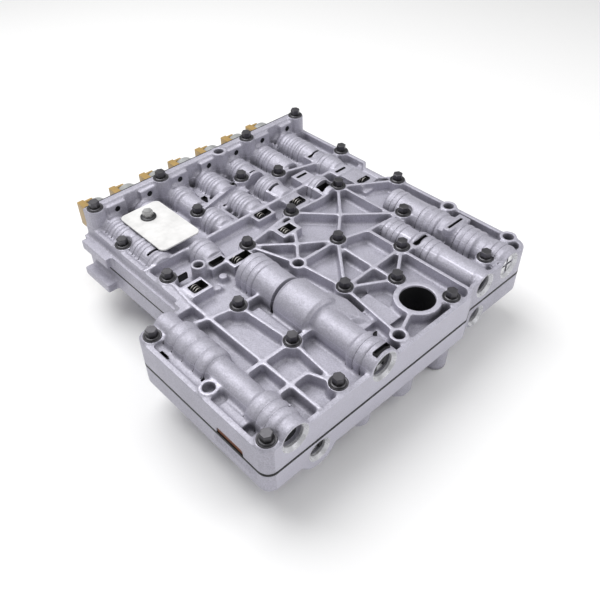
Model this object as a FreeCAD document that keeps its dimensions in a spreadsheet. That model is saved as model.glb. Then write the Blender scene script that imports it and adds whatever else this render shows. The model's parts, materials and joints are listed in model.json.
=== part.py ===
import FreeCAD, Part
import math
import os
import re

import Sketcher

# Transmission valve body: two die castings bolted together over a separator plate, with a row of
# solenoids behind the raised back wall and spool valves in the bores that open at the front.
# Origin: axis of the large supply port, on the plane of the main bolt seats. +X runs along the
# machined front to the right, +Y runs back along the valve bores to the solenoids, +Z is up.

doc = FreeCAD.newDocument("valve_body")
sheet = doc.addObject("Spreadsheet::Sheet", "sizes")
aliases = set()


def size(alias, value):
    """Write one driving dimension into the sheet, in millimetres or degrees."""
    row = len(aliases) + 1
    sheet.set("A%d" % row, alias)
    sheet.set("B%d" % row, str(value))
    sheet.setAlias("B%d" % row, alias)
    aliases.add(alias)


def expression(text):
    """Turn plain alias names in a text into references to the sheet."""
    def reference(match):
        word = match.group(0)
        return "sizes." + word if word in aliases else word
    return re.sub(r"[a-z][a-z0-9_]*", reference, text)


def bind(obj, prop, text):
    obj.setExpression(prop, expression(text))


# Levels of the two castings
size("wall_seat_z", 16)
size("rim_z", -1.5)
size("floor_z", -10.5)
size("parting_z", -26)
size("plate_thick", 1.2)
size("lower_deep", 18.8)
size("lower_floor_deep", 5)

# Plan outline shared by both castings and the separator plate
size("left_x", -176.5)
size("left_back_x", -135)
size("right_x", 117.5)
size("notch_x", 109.5)
size("front_y", -27)
size("front_right_y", -21.5)
size("jog_start_x", 30.5)
size("jog_end_x", 42.5)
size("left_step_y", 117)
size("notch_front_y", 124)
size("notch_slope", 7)
size("notch_back_y", 154)
size("back_y", 261)
size("corner_left_r", 9)
size("corner_right_r", 11)
size("wall_thick", 4)
size("rib_thick", 3)
size("plate_inset", 0.6)

# Bolts, their seats and holes
size("seat_r", 7.75)
size("bolt_shank_r", 3)
size("bolt_gap", 0.3)
size("flange_r", 7)
size("flange_thick", 1.6)
size("hex_across", 8)
size("head_high", 7)
size("thread_gap", 0.05)
size("thread_deep", 11)
size("case_hole_r", 4.6)
size("case_ring_r", 7.3)

# Supply port
size("port_r", 14)
size("port_ring_r", 18.7)

HEX_SIDES = 6
SHANK_SIDES = 8

BOLTS = {
    "bolt_a": (-167.5, -18), "bolt_b": (-167.5, 106.5), "bolt_c": (-102.5, 88), "bolt_d": (-98.5, 33),
    "bolt_e": (-103, -17), "bolt_f": (-30.5, 47), "bolt_g": (5.5, 25.5), "bolt_k": (19, -17),
    "bolt_l": (8.5, 92.5), "bolt_n": (39, 49), "bolt_o": (76.5, 79.5), "bolt_p": (76, -7),
    "bolt_q": (112.5, 117), "bolt_r": (66, 148.5), "bolt_s": (7, 148.5), "bolt_t": (-50.5, 139.5),
    "bolt_u": (-122, 151.5), "bolt_v": (-124.5, 212.5), "bolt_w": (-52, 205.5), "bolt_x": (41.5, 203.5),
    "bolt_y": (11, 221.5), "bolt_z": (112.5, 190),
}
WALL_BOLTS = {
    "wall_bolt_a": (-123, 253), "wall_bolt_b": (-55.5, 253), "wall_bolt_c": (45, 253),
    "wall_bolt_d": (109.7, 253),
}
CASE_HOLES = {
    "case_a": (-167.5, 40.5), "case_b": (-36, 93.5), "case_c": (-39.5, -15.5), "case_d": (113, 58),
    "case_e": (113, -4),
}
# Points of the rib lattice that aren't bolt seats
POINTS = {
    "spine_front": (-126.5, -24), "spine_back": (-126.5, 115), "cross_left": (-143, 33),
    "cross_right": (-75, 33), "short_left": (-142, 4.5), "short_right": (-111, 4.5),
    "web_left_a": (-141, 98), "web_left_b": (-125, 92.5), "port_node": (0, 0),
    "mid_back": (4, 81), "mid_front": (4, 32), "right_rib_back": (36, 84), "right_rib_front": (36, -20),
    "left_mid": (-19.5, 112.5), "top_mid": (36, 116.5), "tri_back": (68, 141), "tri_front": (68, 84),
    "long_left": (-135, 172), "long_right": (82, 172), "web_g": (79, 192.5), "rear_left_b": (-20, 216),
    "low_right": (40, 146), "stub_c": (-81.6, 87.6),
}
for name, (px, py) in {**BOLTS, **WALL_BOLTS, **CASE_HOLES, **POINTS}.items():
    size(name + "_x", px)
    size(name + "_y", py)
RIBS = (
    ("spine_front", "spine_back"), ("cross_left", "bolt_d"), ("bolt_d", "cross_right"),
    ("short_left", "short_right"), ("short_right", "bolt_e"), ("web_left_a", "web_left_b"),
    ("web_left_b", "bolt_c"), ("bolt_b", "web_left_a"), ("bolt_c", "bolt_d"), ("bolt_d", "bolt_e"),
    ("case_b", "bolt_l"), ("bolt_f", "bolt_l"), ("case_b", "bolt_f"), ("bolt_f", "bolt_n"),
    ("mid_back", "mid_front"), ("bolt_f", "bolt_g"), ("bolt_g", "bolt_n"), ("bolt_g", "port_node"),
    ("bolt_l", "right_rib_back"), ("right_rib_back", "bolt_o"), ("right_rib_back", "right_rib_front"),
    ("case_b", "left_mid"), ("left_mid", "bolt_s"), ("bolt_l", "top_mid"), ("top_mid", "bolt_r"),
    ("top_mid", "bolt_o"), ("tri_back", "tri_front"), ("long_left", "long_right"),
    ("bolt_x", "web_g"), ("web_g", "bolt_z"), ("case_c", "port_node"), ("bolt_k", "port_node"),
    ("bolt_t", "bolt_s"), ("low_right", "bolt_s"), ("low_right", "bolt_r"), ("bolt_r", "bolt_q"),
    ("bolt_w", "bolt_y"), ("bolt_t", "case_b"), ("bolt_s", "top_mid"), ("bolt_w", "rear_left_b"),
    ("bolt_f", "case_c"), ("bolt_t", "left_mid"), ("left_mid", "bolt_l"), ("spine_back", "bolt_u"),
    ("bolt_c", "stub_c"),
)

# Valve bores, their humps, plugs and clips
size("hump_overlap", 1)
size("wall_front_y", 254.5)
size("wall_end_x", -131)
size("wall_top_z", 15)
size("pad_front_y", 250.5)
size("pad_top_z", 12.5)
size("pad_half", 9)
size("solenoid_first_x", -104)
size("solenoid_pitch", 33.4)
size("screw_z", 6.8)
size("rear_hump_x", -113)
size("rear_hump_pitch", 34)
size("rear_hump_z", -8)
size("rear_hump_r", 11)
size("rear_ring_r", 12.2)
size("back_ledge", 3.5)

# Bores that open at the front: name, axis x, axis z, face y, mouth and bore radius, bore depth
FRONT_BORES = {
    "left": (-151.2, -5.6, "front_y", 9.1, 7, 112),
    "main": (-67.2, -3.7, "front_y", 9.8, 8, 124),
    "middle": (58.5, -10.4, "front_right_y", 8.2, 7, 92),
    "right": (90.9, -8.8, "front_right_y", 9.1, 7, 116),
    "low_left": (-129.8, -39.4, "front_y", 7.4, 6, 96),
    "low_right": (54.4, -40.7, "front_right_y", 7.4, 6, 88),
}
LOW_BORES = ("low_left", "low_right")
for name, (axis_x, axis_z, face, mouth_r, bore_r, deep) in FRONT_BORES.items():
    size(name + "_axis_x", axis_x)
    size(name + "_axis_z", axis_z)
    size(name + "_mouth_r", mouth_r)
    size(name + "_bore_r", bore_r)
    size(name + "_deep", deep)
size("mouth_deep", 16)
size("chamfer_wide", 2)
size("chamfer_deep", 2.2)
size("clip_thick", 1.6)
size("clip_gap", 0.2)
size("clip_fork_half", 3.5)
size("clip_half", 6.5)
size("clip_tip", 4.5)
size("slot_side_gap", 0.25)
# How far each bore's clip stands behind the face, and the screwed plug of the bore that has no clip
CLIPS = {"left": 8, "main": 5, "middle": 7, "low_left": 5, "low_right": 7}
for name, behind in CLIPS.items():
    size(name + "_clip_behind", behind)
size("screwed_recess", 2.5)

# Humps over the front bores: distance behind the face, length and outer radius of each step
HUMP_STEPS = {
    "left": ((0, 8, 12.6), (7, 13, 11.6), (19, 16, 12.8), (34, 46, 10.8), (79, 46, 12.6), (124, 19.5, 10.2)),
    "main": ((0, 24, 14.2), (23, 39, 13), (61, 3, 17.2), (63.5, 31, 19.2), (94, 3.5, 17.6), (97, 3, 14),
             (99.5, 43.5, 16.2)),
    "middle": ((0, 9, 11.5), (8, 36, 12.2), (43, 26, 13.2), (68, 31, 12)),
    "right": ((0, 8, 13), (7, 14, 14.2), (20, 12, 13), (31, 35, 14.2), (65, 18, 13), (82, 43, 14.2)),
    "low_left": ((0, 14, 17), (13, 92, 12)),
    "low_right": ((0, 12, 11.5), (11, 86, 11)),
}
for name, steps in HUMP_STEPS.items():
    for index, (start, length, radius) in enumerate(steps):
        size("%s_hump_%d_start" % (name, index), start)
        size("%s_hump_%d_length" % (name, index), length)
        size("%s_hump_%d_radius" % (name, index), radius)

# Raised flats beside the humps and pads round the windows: x from, x to, y from, y to, top
FLATS = {
    "channel_back": (-99, -90, 38.5, 80, -4.5), "main_shelf": (-58, -39.5, 8, 52, -4.5),
    "side_roof": (-33.5, -17.5, -1, 34, -6), "left_flat": (-174, -164.5, 2, 26.5, -4),
    "left_low": (-174, -164.5, -20, -6, -6.5), "window_pad_a": (-121.5, -102.5, 118.5, 135, 0),
    "window_pad_b": (-77, -53.5, 124.5, 139.5, 0), "window_pad_c": (-22.5, -1, 125.5, 141, 0),
    "window_pad_d": (-21, -0.5, 160, 173, -2), "window_pad_e": (14.5, 33.5, 151.5, 171, -2),
    "window_pad_f": (45.5, 64.5, 148, 171, 0), "window_pad_g": (82.5, 102, 133, 170, -2),
    "window_pad_h": (-91, -72, 135.5, 147, -1),
    "slot_pad_a": (12.5, 29, 178, 190.5, 0), "slot_pad_b": (45.5, 63.5, 176, 190.5, 0),
    "slot_pad_c": (77.5, 97, 160, 170, 0), "slot_pad_d": (78.5, 97, 196, 208.5, 0.5),
    "slot_pad_e": (78, 109, 31, 43, 1), "slot_pad_f": (43.5, 67.5, 38.5, 47, 1),
    "right_flat": (82, 112, 128, 166, -6), "rear_plate": (-45, -28, 176, 203, -4.5),
    "rear_bridge": (-26, 8, 206, 219, -5), "rear_flat_a": (-100, -62, 208, 250, -8),
    "rear_flat_b": (-36, -26, 206, 250, -6), "rear_flat_c": (29, 40, 214, 250, -6),
    "rear_flat_d": (-6, 6, 224, 250, -6),
}
# Dark windows and clip slots: x from, x to, y from, y to, top, depth
WINDOWS = {
    "window_a": (-118, -104.5, 122, 131.5, 1, 9), "window_b": (-74, -55.5, 127.5, 135.5, 1, 9),
    "window_c": (-18.5, -5, 128.5, 138, 1, 9), "window_d": (-18, -4, 162.5, 169.5, 0, 8),
    "window_e": (17.5, 30.5, 154.5, 162.5, 0, 8), "window_f": (48.5, 61.5, 151.5, 160.5, 1, 9),
    "window_g": (86, 98.5, 138.5, 143.5, 0, 7), "slot_a": (15, 26.5, 185.5, 188, 1, 8),
    "slot_b": (48.5, 60.5, 184, 186.5, 1, 8), "slot_c": (81, 93.5, 165, 167.5, 1, 8),
    "slot_d": (81, 94.5, 202, 204.5, 2, 8), "slot_e": (-119.5, -106.5, 182.5, 185, 6, 9),
    "slot_f": (-116, -107, 146.5, 148.5, 6, 9), "left_slot": (-172.5, -169.5, 84, 92, -2, 12),
    "slot_g": (84, 105, 36, 39, 2, 7), "slot_h": (47.5, 64, 41, 44.5, 2, 7),
    "window_h": (-88, -75, 138.5, 144, 1, 9), "hole_b": (-35.5, -31, 219, 223.5, 0, 8),
    "hole_d": (-2.5, 1.5, 217.5, 222, 0, 8), "slot_i": (19.5, 26, 218.5, 220.5, 1, 8),
}
for name, limits in {**FLATS, **WINDOWS}.items():
    for suffix, value in zip(("_x0", "_x1", "_y0", "_y1", "_top", "_deep"), limits):
        size(name + suffix, value)
# Humps over the closed bores at the back: which of the row, y from, y to
REAR_HUMPS = ((0, 171, 251), (1, 148, 171), (1, 196, 251), (2, 176, 200), (2, 214, 251), (3, 175, 203),
              (3, 216, 251), (4, 172, 205), (4, 216, 251), (5, 146, 172), (5, 205, 251), (6, 172, 194),
              (6, 201, 251))
for index, (place, low_y, high_y) in enumerate(REAR_HUMPS):
    size("rear_hump_%d_y0" % index, low_y)
    size("rear_hump_%d_y1" % index, high_y)
size("ring_wide", 3)
size("ring_pitch", 20)
size("screw_r", 2.5)
size("nose_r", 7)
size("nose_gap", 0.1)
size("nose_length", 16)
size("solenoid_z", -15.5)
size("solenoid_r", 12)
size("solenoid_length", 36)
size("retainer_thick", 1.5)
size("vent_r", 4)
size("vent_x", -97.5)
size("vent_y", 144)
size("vent_top", 4)
size("tag_bolt_x", -91)
size("tag_bolt_y", 223)
size("tag_z", 5)
size("wall_hole_x", 10.5)
size("wall_hole_y", 253)
size("side_notch_y0", -2.5)
size("side_notch_y1", 24.5)
size("side_notch_deep", 7)
size("side_notch_high", 6)
size("main_clip_top", 8.5)
size("ledge_x", -141.5)
size("ledge_y0", 217.5)
size("ledge_y1", 256)
size("ledge_top", -10.5)
size("ledge_thick", 9)

# Lower casting
size("lip_y0", -14)
size("lip_y1", 27)
size("lip_proud", 2)
size("lip_top", -31)
size("lip_high", 6)
size("low_ledge_x", -146.5)
size("low_ledge_y0", 214)
size("low_ledge_y1", 251)
size("low_ledge_top", -34)
size("low_ledge_thick", 8)
size("port_blind", 10)
size("dome_taper", 1.5)
# Domes of the accumulators: x, y, radius at the foot, level of the foot
DOMES = {
    "dome_front": (19.5, -12, 9, -78), "dome_wide": (-31, -11, 13, -66), "dome_small": (-79, -15, 9.5, -60),
    "dome_left": (-131.5, 98, 14, -78), "dome_back_left": (-104, 222, 14, -78),
    "dome_back_right": (92, 212, 14, -78), "dome_middle": (-12, 122, 16, -70),
}
for name, (px, py, radius, foot) in DOMES.items():
    size(name + "_x", px)
    size(name + "_y", py)
    size(name + "_r", radius)
    size(name + "_foot", foot)
UNDER_RIBS = (
    ("bolt_a", "bolt_e"), ("bolt_b", "bolt_c"), ("bolt_c", "bolt_l"), ("bolt_l", "bolt_o"),
    ("bolt_u", "bolt_t"), ("bolt_t", "bolt_s"), ("bolt_s", "bolt_r"), ("bolt_v", "bolt_w"),
    ("bolt_w", "bolt_y"), ("bolt_y", "bolt_x"), ("bolt_x", "bolt_z"), ("bolt_c", "bolt_t"),
    ("bolt_l", "bolt_s"), ("bolt_o", "bolt_r"), ("bolt_e", "bolt_c"), ("bolt_k", "bolt_g"),
    ("bolt_g", "bolt_l"), ("bolt_r", "bolt_x"), ("bolt_s", "bolt_y"), ("bolt_t", "bolt_w"),
    ("bolt_f", "bolt_g"), ("bolt_d", "bolt_f"), ("bolt_g", "bolt_n"),
)

# Side screen, tag and their fastener
size("screen_gap", 0.3)
size("screen_set_back", 1)
size("tag_thick", 1.2)
size("tag_shank", 12)
size("tag_x0", -110)
size("tag_x1", -71)
size("tag_y0", 175)
size("tag_y1", 239.5)
size("tag_corner_r", 5)

# Solenoids, their connectors, retainer and screws
size("neck_length", 1.9)
size("neck_r", 5.6)
size("retainer_gap", 0.3)
size("retainer_low_z", -17)
size("retainer_top_z", 14.5)
size("retainer_end", 3)
size("connector_x0", -14.5)
size("connector_x1", 1)
size("connector_y0", 14)
size("connector_y1", 41)
size("connector_low", -13)
size("connector_high", 12.5)
size("connector_gap", 0.1)
size("mouth_inset", 3)
size("connector_mouth_deep", 6)
size("screw_head_high", 3)
size("screw_set_back", 0.6)

# Spool valves and springs
size("valve_gap", 0.05)
size("end_gap", 0.2)
size("spring_length", 26)
size("spring_gap", 0.6)
size("spring_wire", 1.2)
size("groove_share", 0.55)
size("cross_wide", 2.4)
size("cross_deep", 2)
SPOOL_PARTS = 3
sheet.recompute()


def placed_box(name, low, lengths):
    """A box whose low corner and lengths are texts over the sheet."""
    box = doc.addObject("Part::Box", name)
    for axis, text in zip("xyz", low):
        bind(box, "Placement.Base." + axis, text)
    for prop, text in zip(("Length", "Width", "Height"), lengths):
        bind(box, prop, text)
    return box


def post(name, px, py, low_z, radius, height):
    """An upright cylinder."""
    cylinder = doc.addObject("Part::Cylinder", name)
    bind(cylinder, "Placement.Base.x", px)
    bind(cylinder, "Placement.Base.y", py)
    bind(cylinder, "Placement.Base.z", low_z)
    bind(cylinder, "Radius", radius)
    bind(cylinder, "Height", height)
    return cylinder


def eight_post(name, px, py, low_z, half_flats, height):
    """An upright eight-sided bar: the hidden shanks and their holes, where the thread is left out."""
    bar = doc.addObject("Part::Prism", name)
    bar.Polygon = SHANK_SIDES
    bind(bar, "Placement.Base.x", px)
    bind(bar, "Placement.Base.y", py)
    bind(bar, "Placement.Base.z", low_z)
    bind(bar, "Circumradius", "(%s) / cos(180 / %d)" % (half_flats, SHANK_SIDES))
    bind(bar, "Height", height)
    return bar


def lying(bar):
    """Turn an upright bar so that it runs back along +Y."""
    bar.Placement = FreeCAD.Placement(bar.Placement.Base, FreeCAD.Rotation(FreeCAD.Vector(1, 0, 0), -90))
    return bar


def along_y(name, px, start_y, pz, radius, length):
    """A cylinder whose axis runs back along +Y."""
    cylinder = doc.addObject("Part::Cylinder", name)
    cylinder.Placement = FreeCAD.Placement(
        FreeCAD.Vector(), FreeCAD.Rotation(FreeCAD.Vector(1, 0, 0), -90))
    bind(cylinder, "Placement.Base.x", px)
    bind(cylinder, "Placement.Base.y", start_y)
    bind(cylinder, "Placement.Base.z", pz)
    bind(cylinder, "Radius", radius)
    bind(cylinder, "Height", length)
    return cylinder


def chamfer_y(name, px, start_y, pz, wide_r, narrow_r, length):
    """A cone along +Y that opens towards the front."""
    cone = doc.addObject("Part::Cone", name)
    cone.Placement = FreeCAD.Placement(
        FreeCAD.Vector(), FreeCAD.Rotation(FreeCAD.Vector(1, 0, 0), -90))
    bind(cone, "Placement.Base.x", px)
    bind(cone, "Placement.Base.y", start_y)
    bind(cone, "Placement.Base.z", pz)
    bind(cone, "Radius1", wide_r)
    bind(cone, "Radius2", narrow_r)
    bind(cone, "Height", length)
    return cone


def rib(name, start, end, low_z, height):
    """An upright rib between two named points of the plan."""
    turn = "atan2(%s_y - %s_y; %s_x - %s_x)" % (end, start, end, start)
    box = doc.addObject("Part::Box", name)
    bind(box, "Length", "sqrt((%s_x - %s_x)^2 + (%s_y - %s_y)^2)" % (end, start, end, start))
    bind(box, "Width", "rib_thick")
    bind(box, "Height", height)
    bind(box, "Placement.Rotation.Angle", turn)
    bind(box, "Placement.Base.x", "%s_x + sin(%s) * rib_thick / 2" % (start, turn))
    bind(box, "Placement.Base.y", "%s_y - cos(%s) * rib_thick / 2" % (start, turn))
    bind(box, "Placement.Base.z", low_z)
    return box


def fuse(name, parts):
    joined = doc.addObject("Part::MultiFuse", name)
    joined.Shapes = parts
    return joined


def cut(name, base, tool):
    result = doc.addObject("Part::Cut", name)
    result.Base = base
    result.Tool = tool
    return result


def new_body(name):
    return doc.addObject("PartDesign::Body", name)


def plane_of(body, role):
    for feature in body.Origin.OriginFeatures:
        if feature.Role == role:
            return feature
    raise ValueError("no plane " + role)


def new_sketch(body, name, role, height="0"):
    """A sketch on one of the body's own origin planes, lifted along its normal."""
    sketch = body.newObject("Sketcher::SketchObject", name)
    sketch.AttachmentSupport = [(plane_of(body, role), "")]
    sketch.MapMode = "FlatFace"
    bind(sketch, "AttachmentOffset.Base.z", height)
    return sketch


def draw_loop(sketch, corners):
    """A closed run of straight lines whose corners are bound to texts over the sheet."""
    doc.recompute()
    count = len(corners)
    spots = [FreeCAD.Vector(number(px), number(py), 0) for px, py in corners]
    first = sketch.GeometryCount
    for index in range(count):
        sketch.addGeometry(Part.LineSegment(spots[index], spots[(index + 1) % count]), False)
    for index in range(count):
        following = (index + 1) % count
        sketch.addConstraint(Sketcher.Constraint("Coincident", first + index, 2, first + following, 1))
    for index, (px, py) in enumerate(corners):
        for kind, text in (("DistanceX", px), ("DistanceY", py)):
            label = "k%d%s" % (first + index, kind[-1])
            spot = spots[index].x if kind == "DistanceX" else spots[index].y
            place = sketch.addConstraint(Sketcher.Constraint(kind, -1, 1, first + index, 1, spot))
            sketch.renameConstraint(place, label)
            bind(sketch, "Constraints." + label, text)


def number(text):
    """The value of a text of aliases, numbers, + - * / and brackets."""
    tokens = re.findall(r"[a-z][a-z0-9_]*|[0-9.]+|[-+*/()]", text)

    def factor():
        token = tokens.pop(0)
        if token == "-":
            return -factor()
        if token == "(":
            inner = total()
            tokens.pop(0)
            return inner
        return float(sheet.get(token)) if token in aliases else float(token)

    def product():
        result = factor()
        while tokens and tokens[0] in "*/":
            result = result * factor() if tokens.pop(0) == "*" else result / factor()
        return result

    def total():
        result = product()
        while tokens and tokens[0] in "+-":
            result = result + product() if tokens.pop(0) == "+" else result - product()
        return result

    return total()


def pad(body, name, sketch, length):
    feature = body.newObject("PartDesign::Pad", name)
    feature.Profile = sketch
    bind(feature, "Length", length)
    return feature


def pocket(body, name, sketch, length):
    feature = body.newObject("PartDesign::Pocket", name)
    feature.Profile = sketch
    bind(feature, "Length", length)
    return feature


def revolve(body, name, sketch, axis="V_Axis"):
    feature = body.newObject("PartDesign::Revolution", name)
    feature.Profile = sketch
    feature.ReferenceAxis = (sketch, [axis])
    feature.Angle = 360
    return feature


def round_uprights(body, name, corners, radius):
    """Round the upright edges of a body that stand at the given plan corners."""
    doc.recompute()
    base = body.Tip
    picked = []
    for index, edge in enumerate(base.Shape.Edges, 1):
        box = edge.BoundBox
        if box.XLength + box.YLength > 0.01:
            continue
        for px, py in corners:
            if math.hypot(box.XMin - number(px), box.YMin - number(py)) < 0.05:
                picked.append("Edge%d" % index)
    feature = body.newObject("PartDesign::Fillet", name)
    feature.Base = (base, picked)
    bind(feature, "Radius", radius)
    body.Tip = feature
    return feature


def outline(gap, ledge="0"):
    """Corners of the castings' plan, moved inwards by a gap; the left back side moves by the ledge too."""
    return [
        ("left_x + " + gap, "front_y + " + gap),
        ("jog_start_x", "front_y + " + gap),
        ("jog_end_x", "front_right_y + " + gap),
        ("right_x - " + gap, "front_right_y + " + gap),
        ("right_x - " + gap, "notch_front_y"),
        ("notch_x - " + gap, "notch_front_y + notch_slope"),
        ("notch_x - " + gap, "notch_back_y"),
        ("right_x - " + gap, "notch_back_y + notch_slope"),
        ("right_x - " + gap, "back_y - " + gap),
        ("left_back_x + %s + %s" % (gap, ledge), "back_y - " + gap),
        ("left_back_x + %s + %s" % (gap, ledge), "left_step_y - " + gap),
        ("left_x + " + gap, "left_step_y - " + gap),
    ]


def round_outline(body, name, gap, ledge="0"):
    """Round the three free corners of an outline; each radius shrinks by the gap."""
    spots = outline(gap, ledge)
    round_uprights(body, name + "_left", [spots[0], spots[11]], "corner_left_r - " + gap)
    round_uprights(body, name + "_right", [spots[3]], "corner_right_r - " + gap)


def hump(name):
    """The stepped outer wall of one front bore."""
    face = FRONT_BORES[name][2]
    return [along_y("%s_hump_%d" % (name, index), name + "_axis_x",
                    "%s + %s_hump_%d_start" % (face, name, index), name + "_axis_z",
                    "%s_hump_%d_radius" % (name, index), "%s_hump_%d_length" % (name, index))
            for index in range(len(HUMP_STEPS[name]))]


def bore_tools(name):
    """The mouth, its chamfer and the bore proper of one front bore."""
    face = FRONT_BORES[name][2]
    return [
        along_y(name + "_bore", name + "_axis_x", face, name + "_axis_z", name + "_bore_r", name + "_deep"),
        along_y(name + "_mouth", name + "_axis_x", face + " - hump_overlap", name + "_axis_z",
                name + "_mouth_r", "mouth_deep + hump_overlap"),
        chamfer_y(name + "_chamfer", name + "_axis_x", face, name + "_axis_z",
                  name + "_mouth_r + chamfer_wide", name + "_mouth_r", "chamfer_deep"),
    ]


def clip_slot(name):
    """The slot of a bore's clip: from the top of the casting, or from the separator plate, to the bore."""
    low_z = name + "_axis_z - clip_tip - clip_gap"
    high_z = name + "_axis_z + clip_tip + clip_gap"
    if name == "main":
        high_z = "wall_seat_z"
    elif name in LOW_BORES:
        high_z = "parting_z"
    else:
        low_z = "parting_z - hump_overlap"
    return placed_box(name + "_clip_slot",
                      (name + "_axis_x - clip_half - slot_side_gap",
                       "%s + %s_clip_behind - clip_thick / 2 - clip_gap" % (FRONT_BORES[name][2], name), low_z),
                      ("clip_half * 2 + slot_side_gap * 2", "clip_thick + clip_gap * 2",
                       "%s - (%s)" % (high_z, low_z)))


def block(name, on_floor=True):
    """A block between its plan limits, up to its top; it stands on the tray's floor or has its own depth."""
    low_z = "floor_z - hump_overlap" if on_floor else "%s_top - %s_deep" % (name, name)
    return placed_box(name, (name + "_x0", name + "_y0", low_z),
                      ("%s_x1 - %s_x0" % (name, name), "%s_y1 - %s_y0" % (name, name),
                       "%s_top - (%s)" % (name, low_z)))


# Upper casting: a rimmed tray, ribs, bolt bosses and humps over the valve bores
upper_blank = new_body("upper_blank")
blank_sketch = new_sketch(upper_blank, "upper_outline", "XY_Plane", "parting_z")
draw_loop(blank_sketch, outline("0"))
pad(upper_blank, "upper_slab", blank_sketch, "rim_z - parting_z")
round_outline(upper_blank, "upper_corner", "0")
tray_sketch = new_sketch(upper_blank, "upper_tray_outline", "XY_Plane", "rim_z")
draw_loop(tray_sketch, outline("wall_thick", "back_ledge"))
pocket(upper_blank, "upper_tray", tray_sketch, "rim_z - floor_z")
round_outline(upper_blank, "upper_tray_corner", "wall_thick", "back_ledge")

upper_parts = [upper_blank]
seat_high = "0 - parting_z"
for name in BOLTS:
    upper_parts.append(post(name + "_seat", name + "_x", name + "_y", "parting_z", "seat_r", seat_high))
for name in CASE_HOLES:
    upper_parts.append(post(name + "_ring", name + "_x", name + "_y", "parting_z", "case_ring_r", seat_high))
for name in WALL_BOLTS:
    upper_parts.append(post(name + "_seat", name + "_x", name + "_y", "parting_z", "seat_r",
                            "wall_seat_z - parting_z"))
upper_parts.append(post("wall_hole_ring", "wall_hole_x", "wall_hole_y", "parting_z", "seat_r",
                        "wall_seat_z - parting_z"))
upper_parts.append(post("port_ring", "0", "0", "parting_z", "port_ring_r", seat_high))
upper_parts.append(post("vent_ring", "vent_x", "vent_y", "parting_z", "seat_r - ring_wide / 2",
                        "vent_top - parting_z"))
upper_parts.append(post("tag_seat", "tag_bolt_x", "tag_bolt_y", "parting_z", "seat_r",
                        "tag_z - parting_z"))
for index, (start, end) in enumerate(RIBS):
    upper_parts.append(rib("rib_%02d" % index, start, end, "floor_z - hump_overlap",
                           "hump_overlap - floor_z"))
for name in FLATS:
    upper_parts.append(block(name))
for name in ("left", "main", "middle", "right"):
    upper_parts.extend(hump(name))
for index, (place, low_y, high_y) in enumerate(REAR_HUMPS):
    label = "rear_hump_%d" % index
    axis_x = "rear_hump_x + rear_hump_pitch * %d" % place
    upper_parts.append(along_y(label, axis_x, label + "_y0", "rear_hump_z", "rear_hump_r",
                               "%s_y1 - %s_y0" % (label, label)))
    for ring_index in range(int((high_y - low_y) / number("ring_pitch"))):
        start_y = "%s_y1 - ring_pitch * %d - ring_pitch" % (label, ring_index)
        upper_parts.append(along_y("%s_ring_%d" % (label, ring_index), axis_x, start_y + " + ring_wide",
                                   "rear_hump_z", "rear_ring_r", "ring_pitch - ring_wide"))
upper_parts.append(placed_box("back_wall", ("wall_end_x", "wall_front_y", "parting_z"),
                              ("right_x - wall_end_x", "back_y - wall_front_y", "wall_top_z - parting_z")))
for index in range(7):
    axis_x = "solenoid_first_x + solenoid_pitch * %d" % index
    upper_parts.append(placed_box("screw_pad_%d" % index,
                                  (axis_x + " - pad_half", "pad_front_y", "floor_z - hump_overlap"),
                                  ("pad_half * 2", "back_y - pad_front_y - hump_overlap",
                                   "pad_top_z - floor_z + hump_overlap")))
upper_parts.append(placed_box("side_ledge", ("ledge_x", "ledge_y0", "ledge_top - ledge_thick"),
                              ("left_back_x - ledge_x + hump_overlap", "ledge_y1 - ledge_y0", "ledge_thick")))
upper_mass = fuse("upper_mass", upper_parts)

upper_tools = []
through_z = "parting_z - hump_overlap"
through_high = "wall_seat_z - parting_z + hump_overlap * 2"
for name in {**BOLTS, **WALL_BOLTS}:
    upper_tools.append(eight_post(name + "_hole", name + "_x", name + "_y", through_z,
                                  "bolt_shank_r + bolt_gap", through_high))
for name in BOLTS:
    upper_tools.append(post(name + "_spotface", name + "_x", name + "_y", "0", "seat_r", "head_high"))
for name in CASE_HOLES:
    upper_tools.append(post(name + "_hole", name + "_x", name + "_y", through_z, "case_hole_r", through_high))
upper_tools.append(post("wall_hole", "wall_hole_x", "wall_hole_y", through_z, "case_hole_r", through_high))
upper_tools.append(post("port_hole", "0", "0", through_z, "port_r", through_high))
upper_tools.append(post("vent_hole", "vent_x", "vent_y", "vent_top - mouth_deep", "vent_r",
                        "mouth_deep + hump_overlap"))
upper_tools.append(eight_post("tag_hole", "tag_bolt_x", "tag_bolt_y", "tag_z - mouth_deep",
                              "bolt_shank_r + thread_gap", "mouth_deep + hump_overlap"))
for name in ("left", "main", "middle", "right"):
    upper_tools.extend(bore_tools(name))
for name in WINDOWS:
    upper_tools.append(block(name, False))
for index in range(7):
    axis_x = "solenoid_first_x + solenoid_pitch * %d" % index
    upper_tools.append(lying(eight_post("screw_hole_%d" % index, axis_x, "pad_front_y - hump_overlap",
                                        "screw_z", "screw_r + thread_gap",
                                        "back_y - pad_front_y + hump_overlap * 2")))
    upper_tools.append(along_y("nose_hole_%d" % index, axis_x, "back_y - nose_length - nose_gap",
                               "solenoid_z", "nose_r + nose_gap", "nose_length + nose_gap + hump_overlap"))
upper_tools.append(placed_box("side_notch", ("left_x - hump_overlap", "side_notch_y0", through_z),
                              ("side_notch_deep + hump_overlap", "side_notch_y1 - side_notch_y0",
                               "side_notch_high + hump_overlap")))
# Slots of the clips: the main bore's opens upwards, the others' go in from the parting plane
for name in ("left", "main", "middle"):
    upper_tools.append(clip_slot(name))
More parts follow.
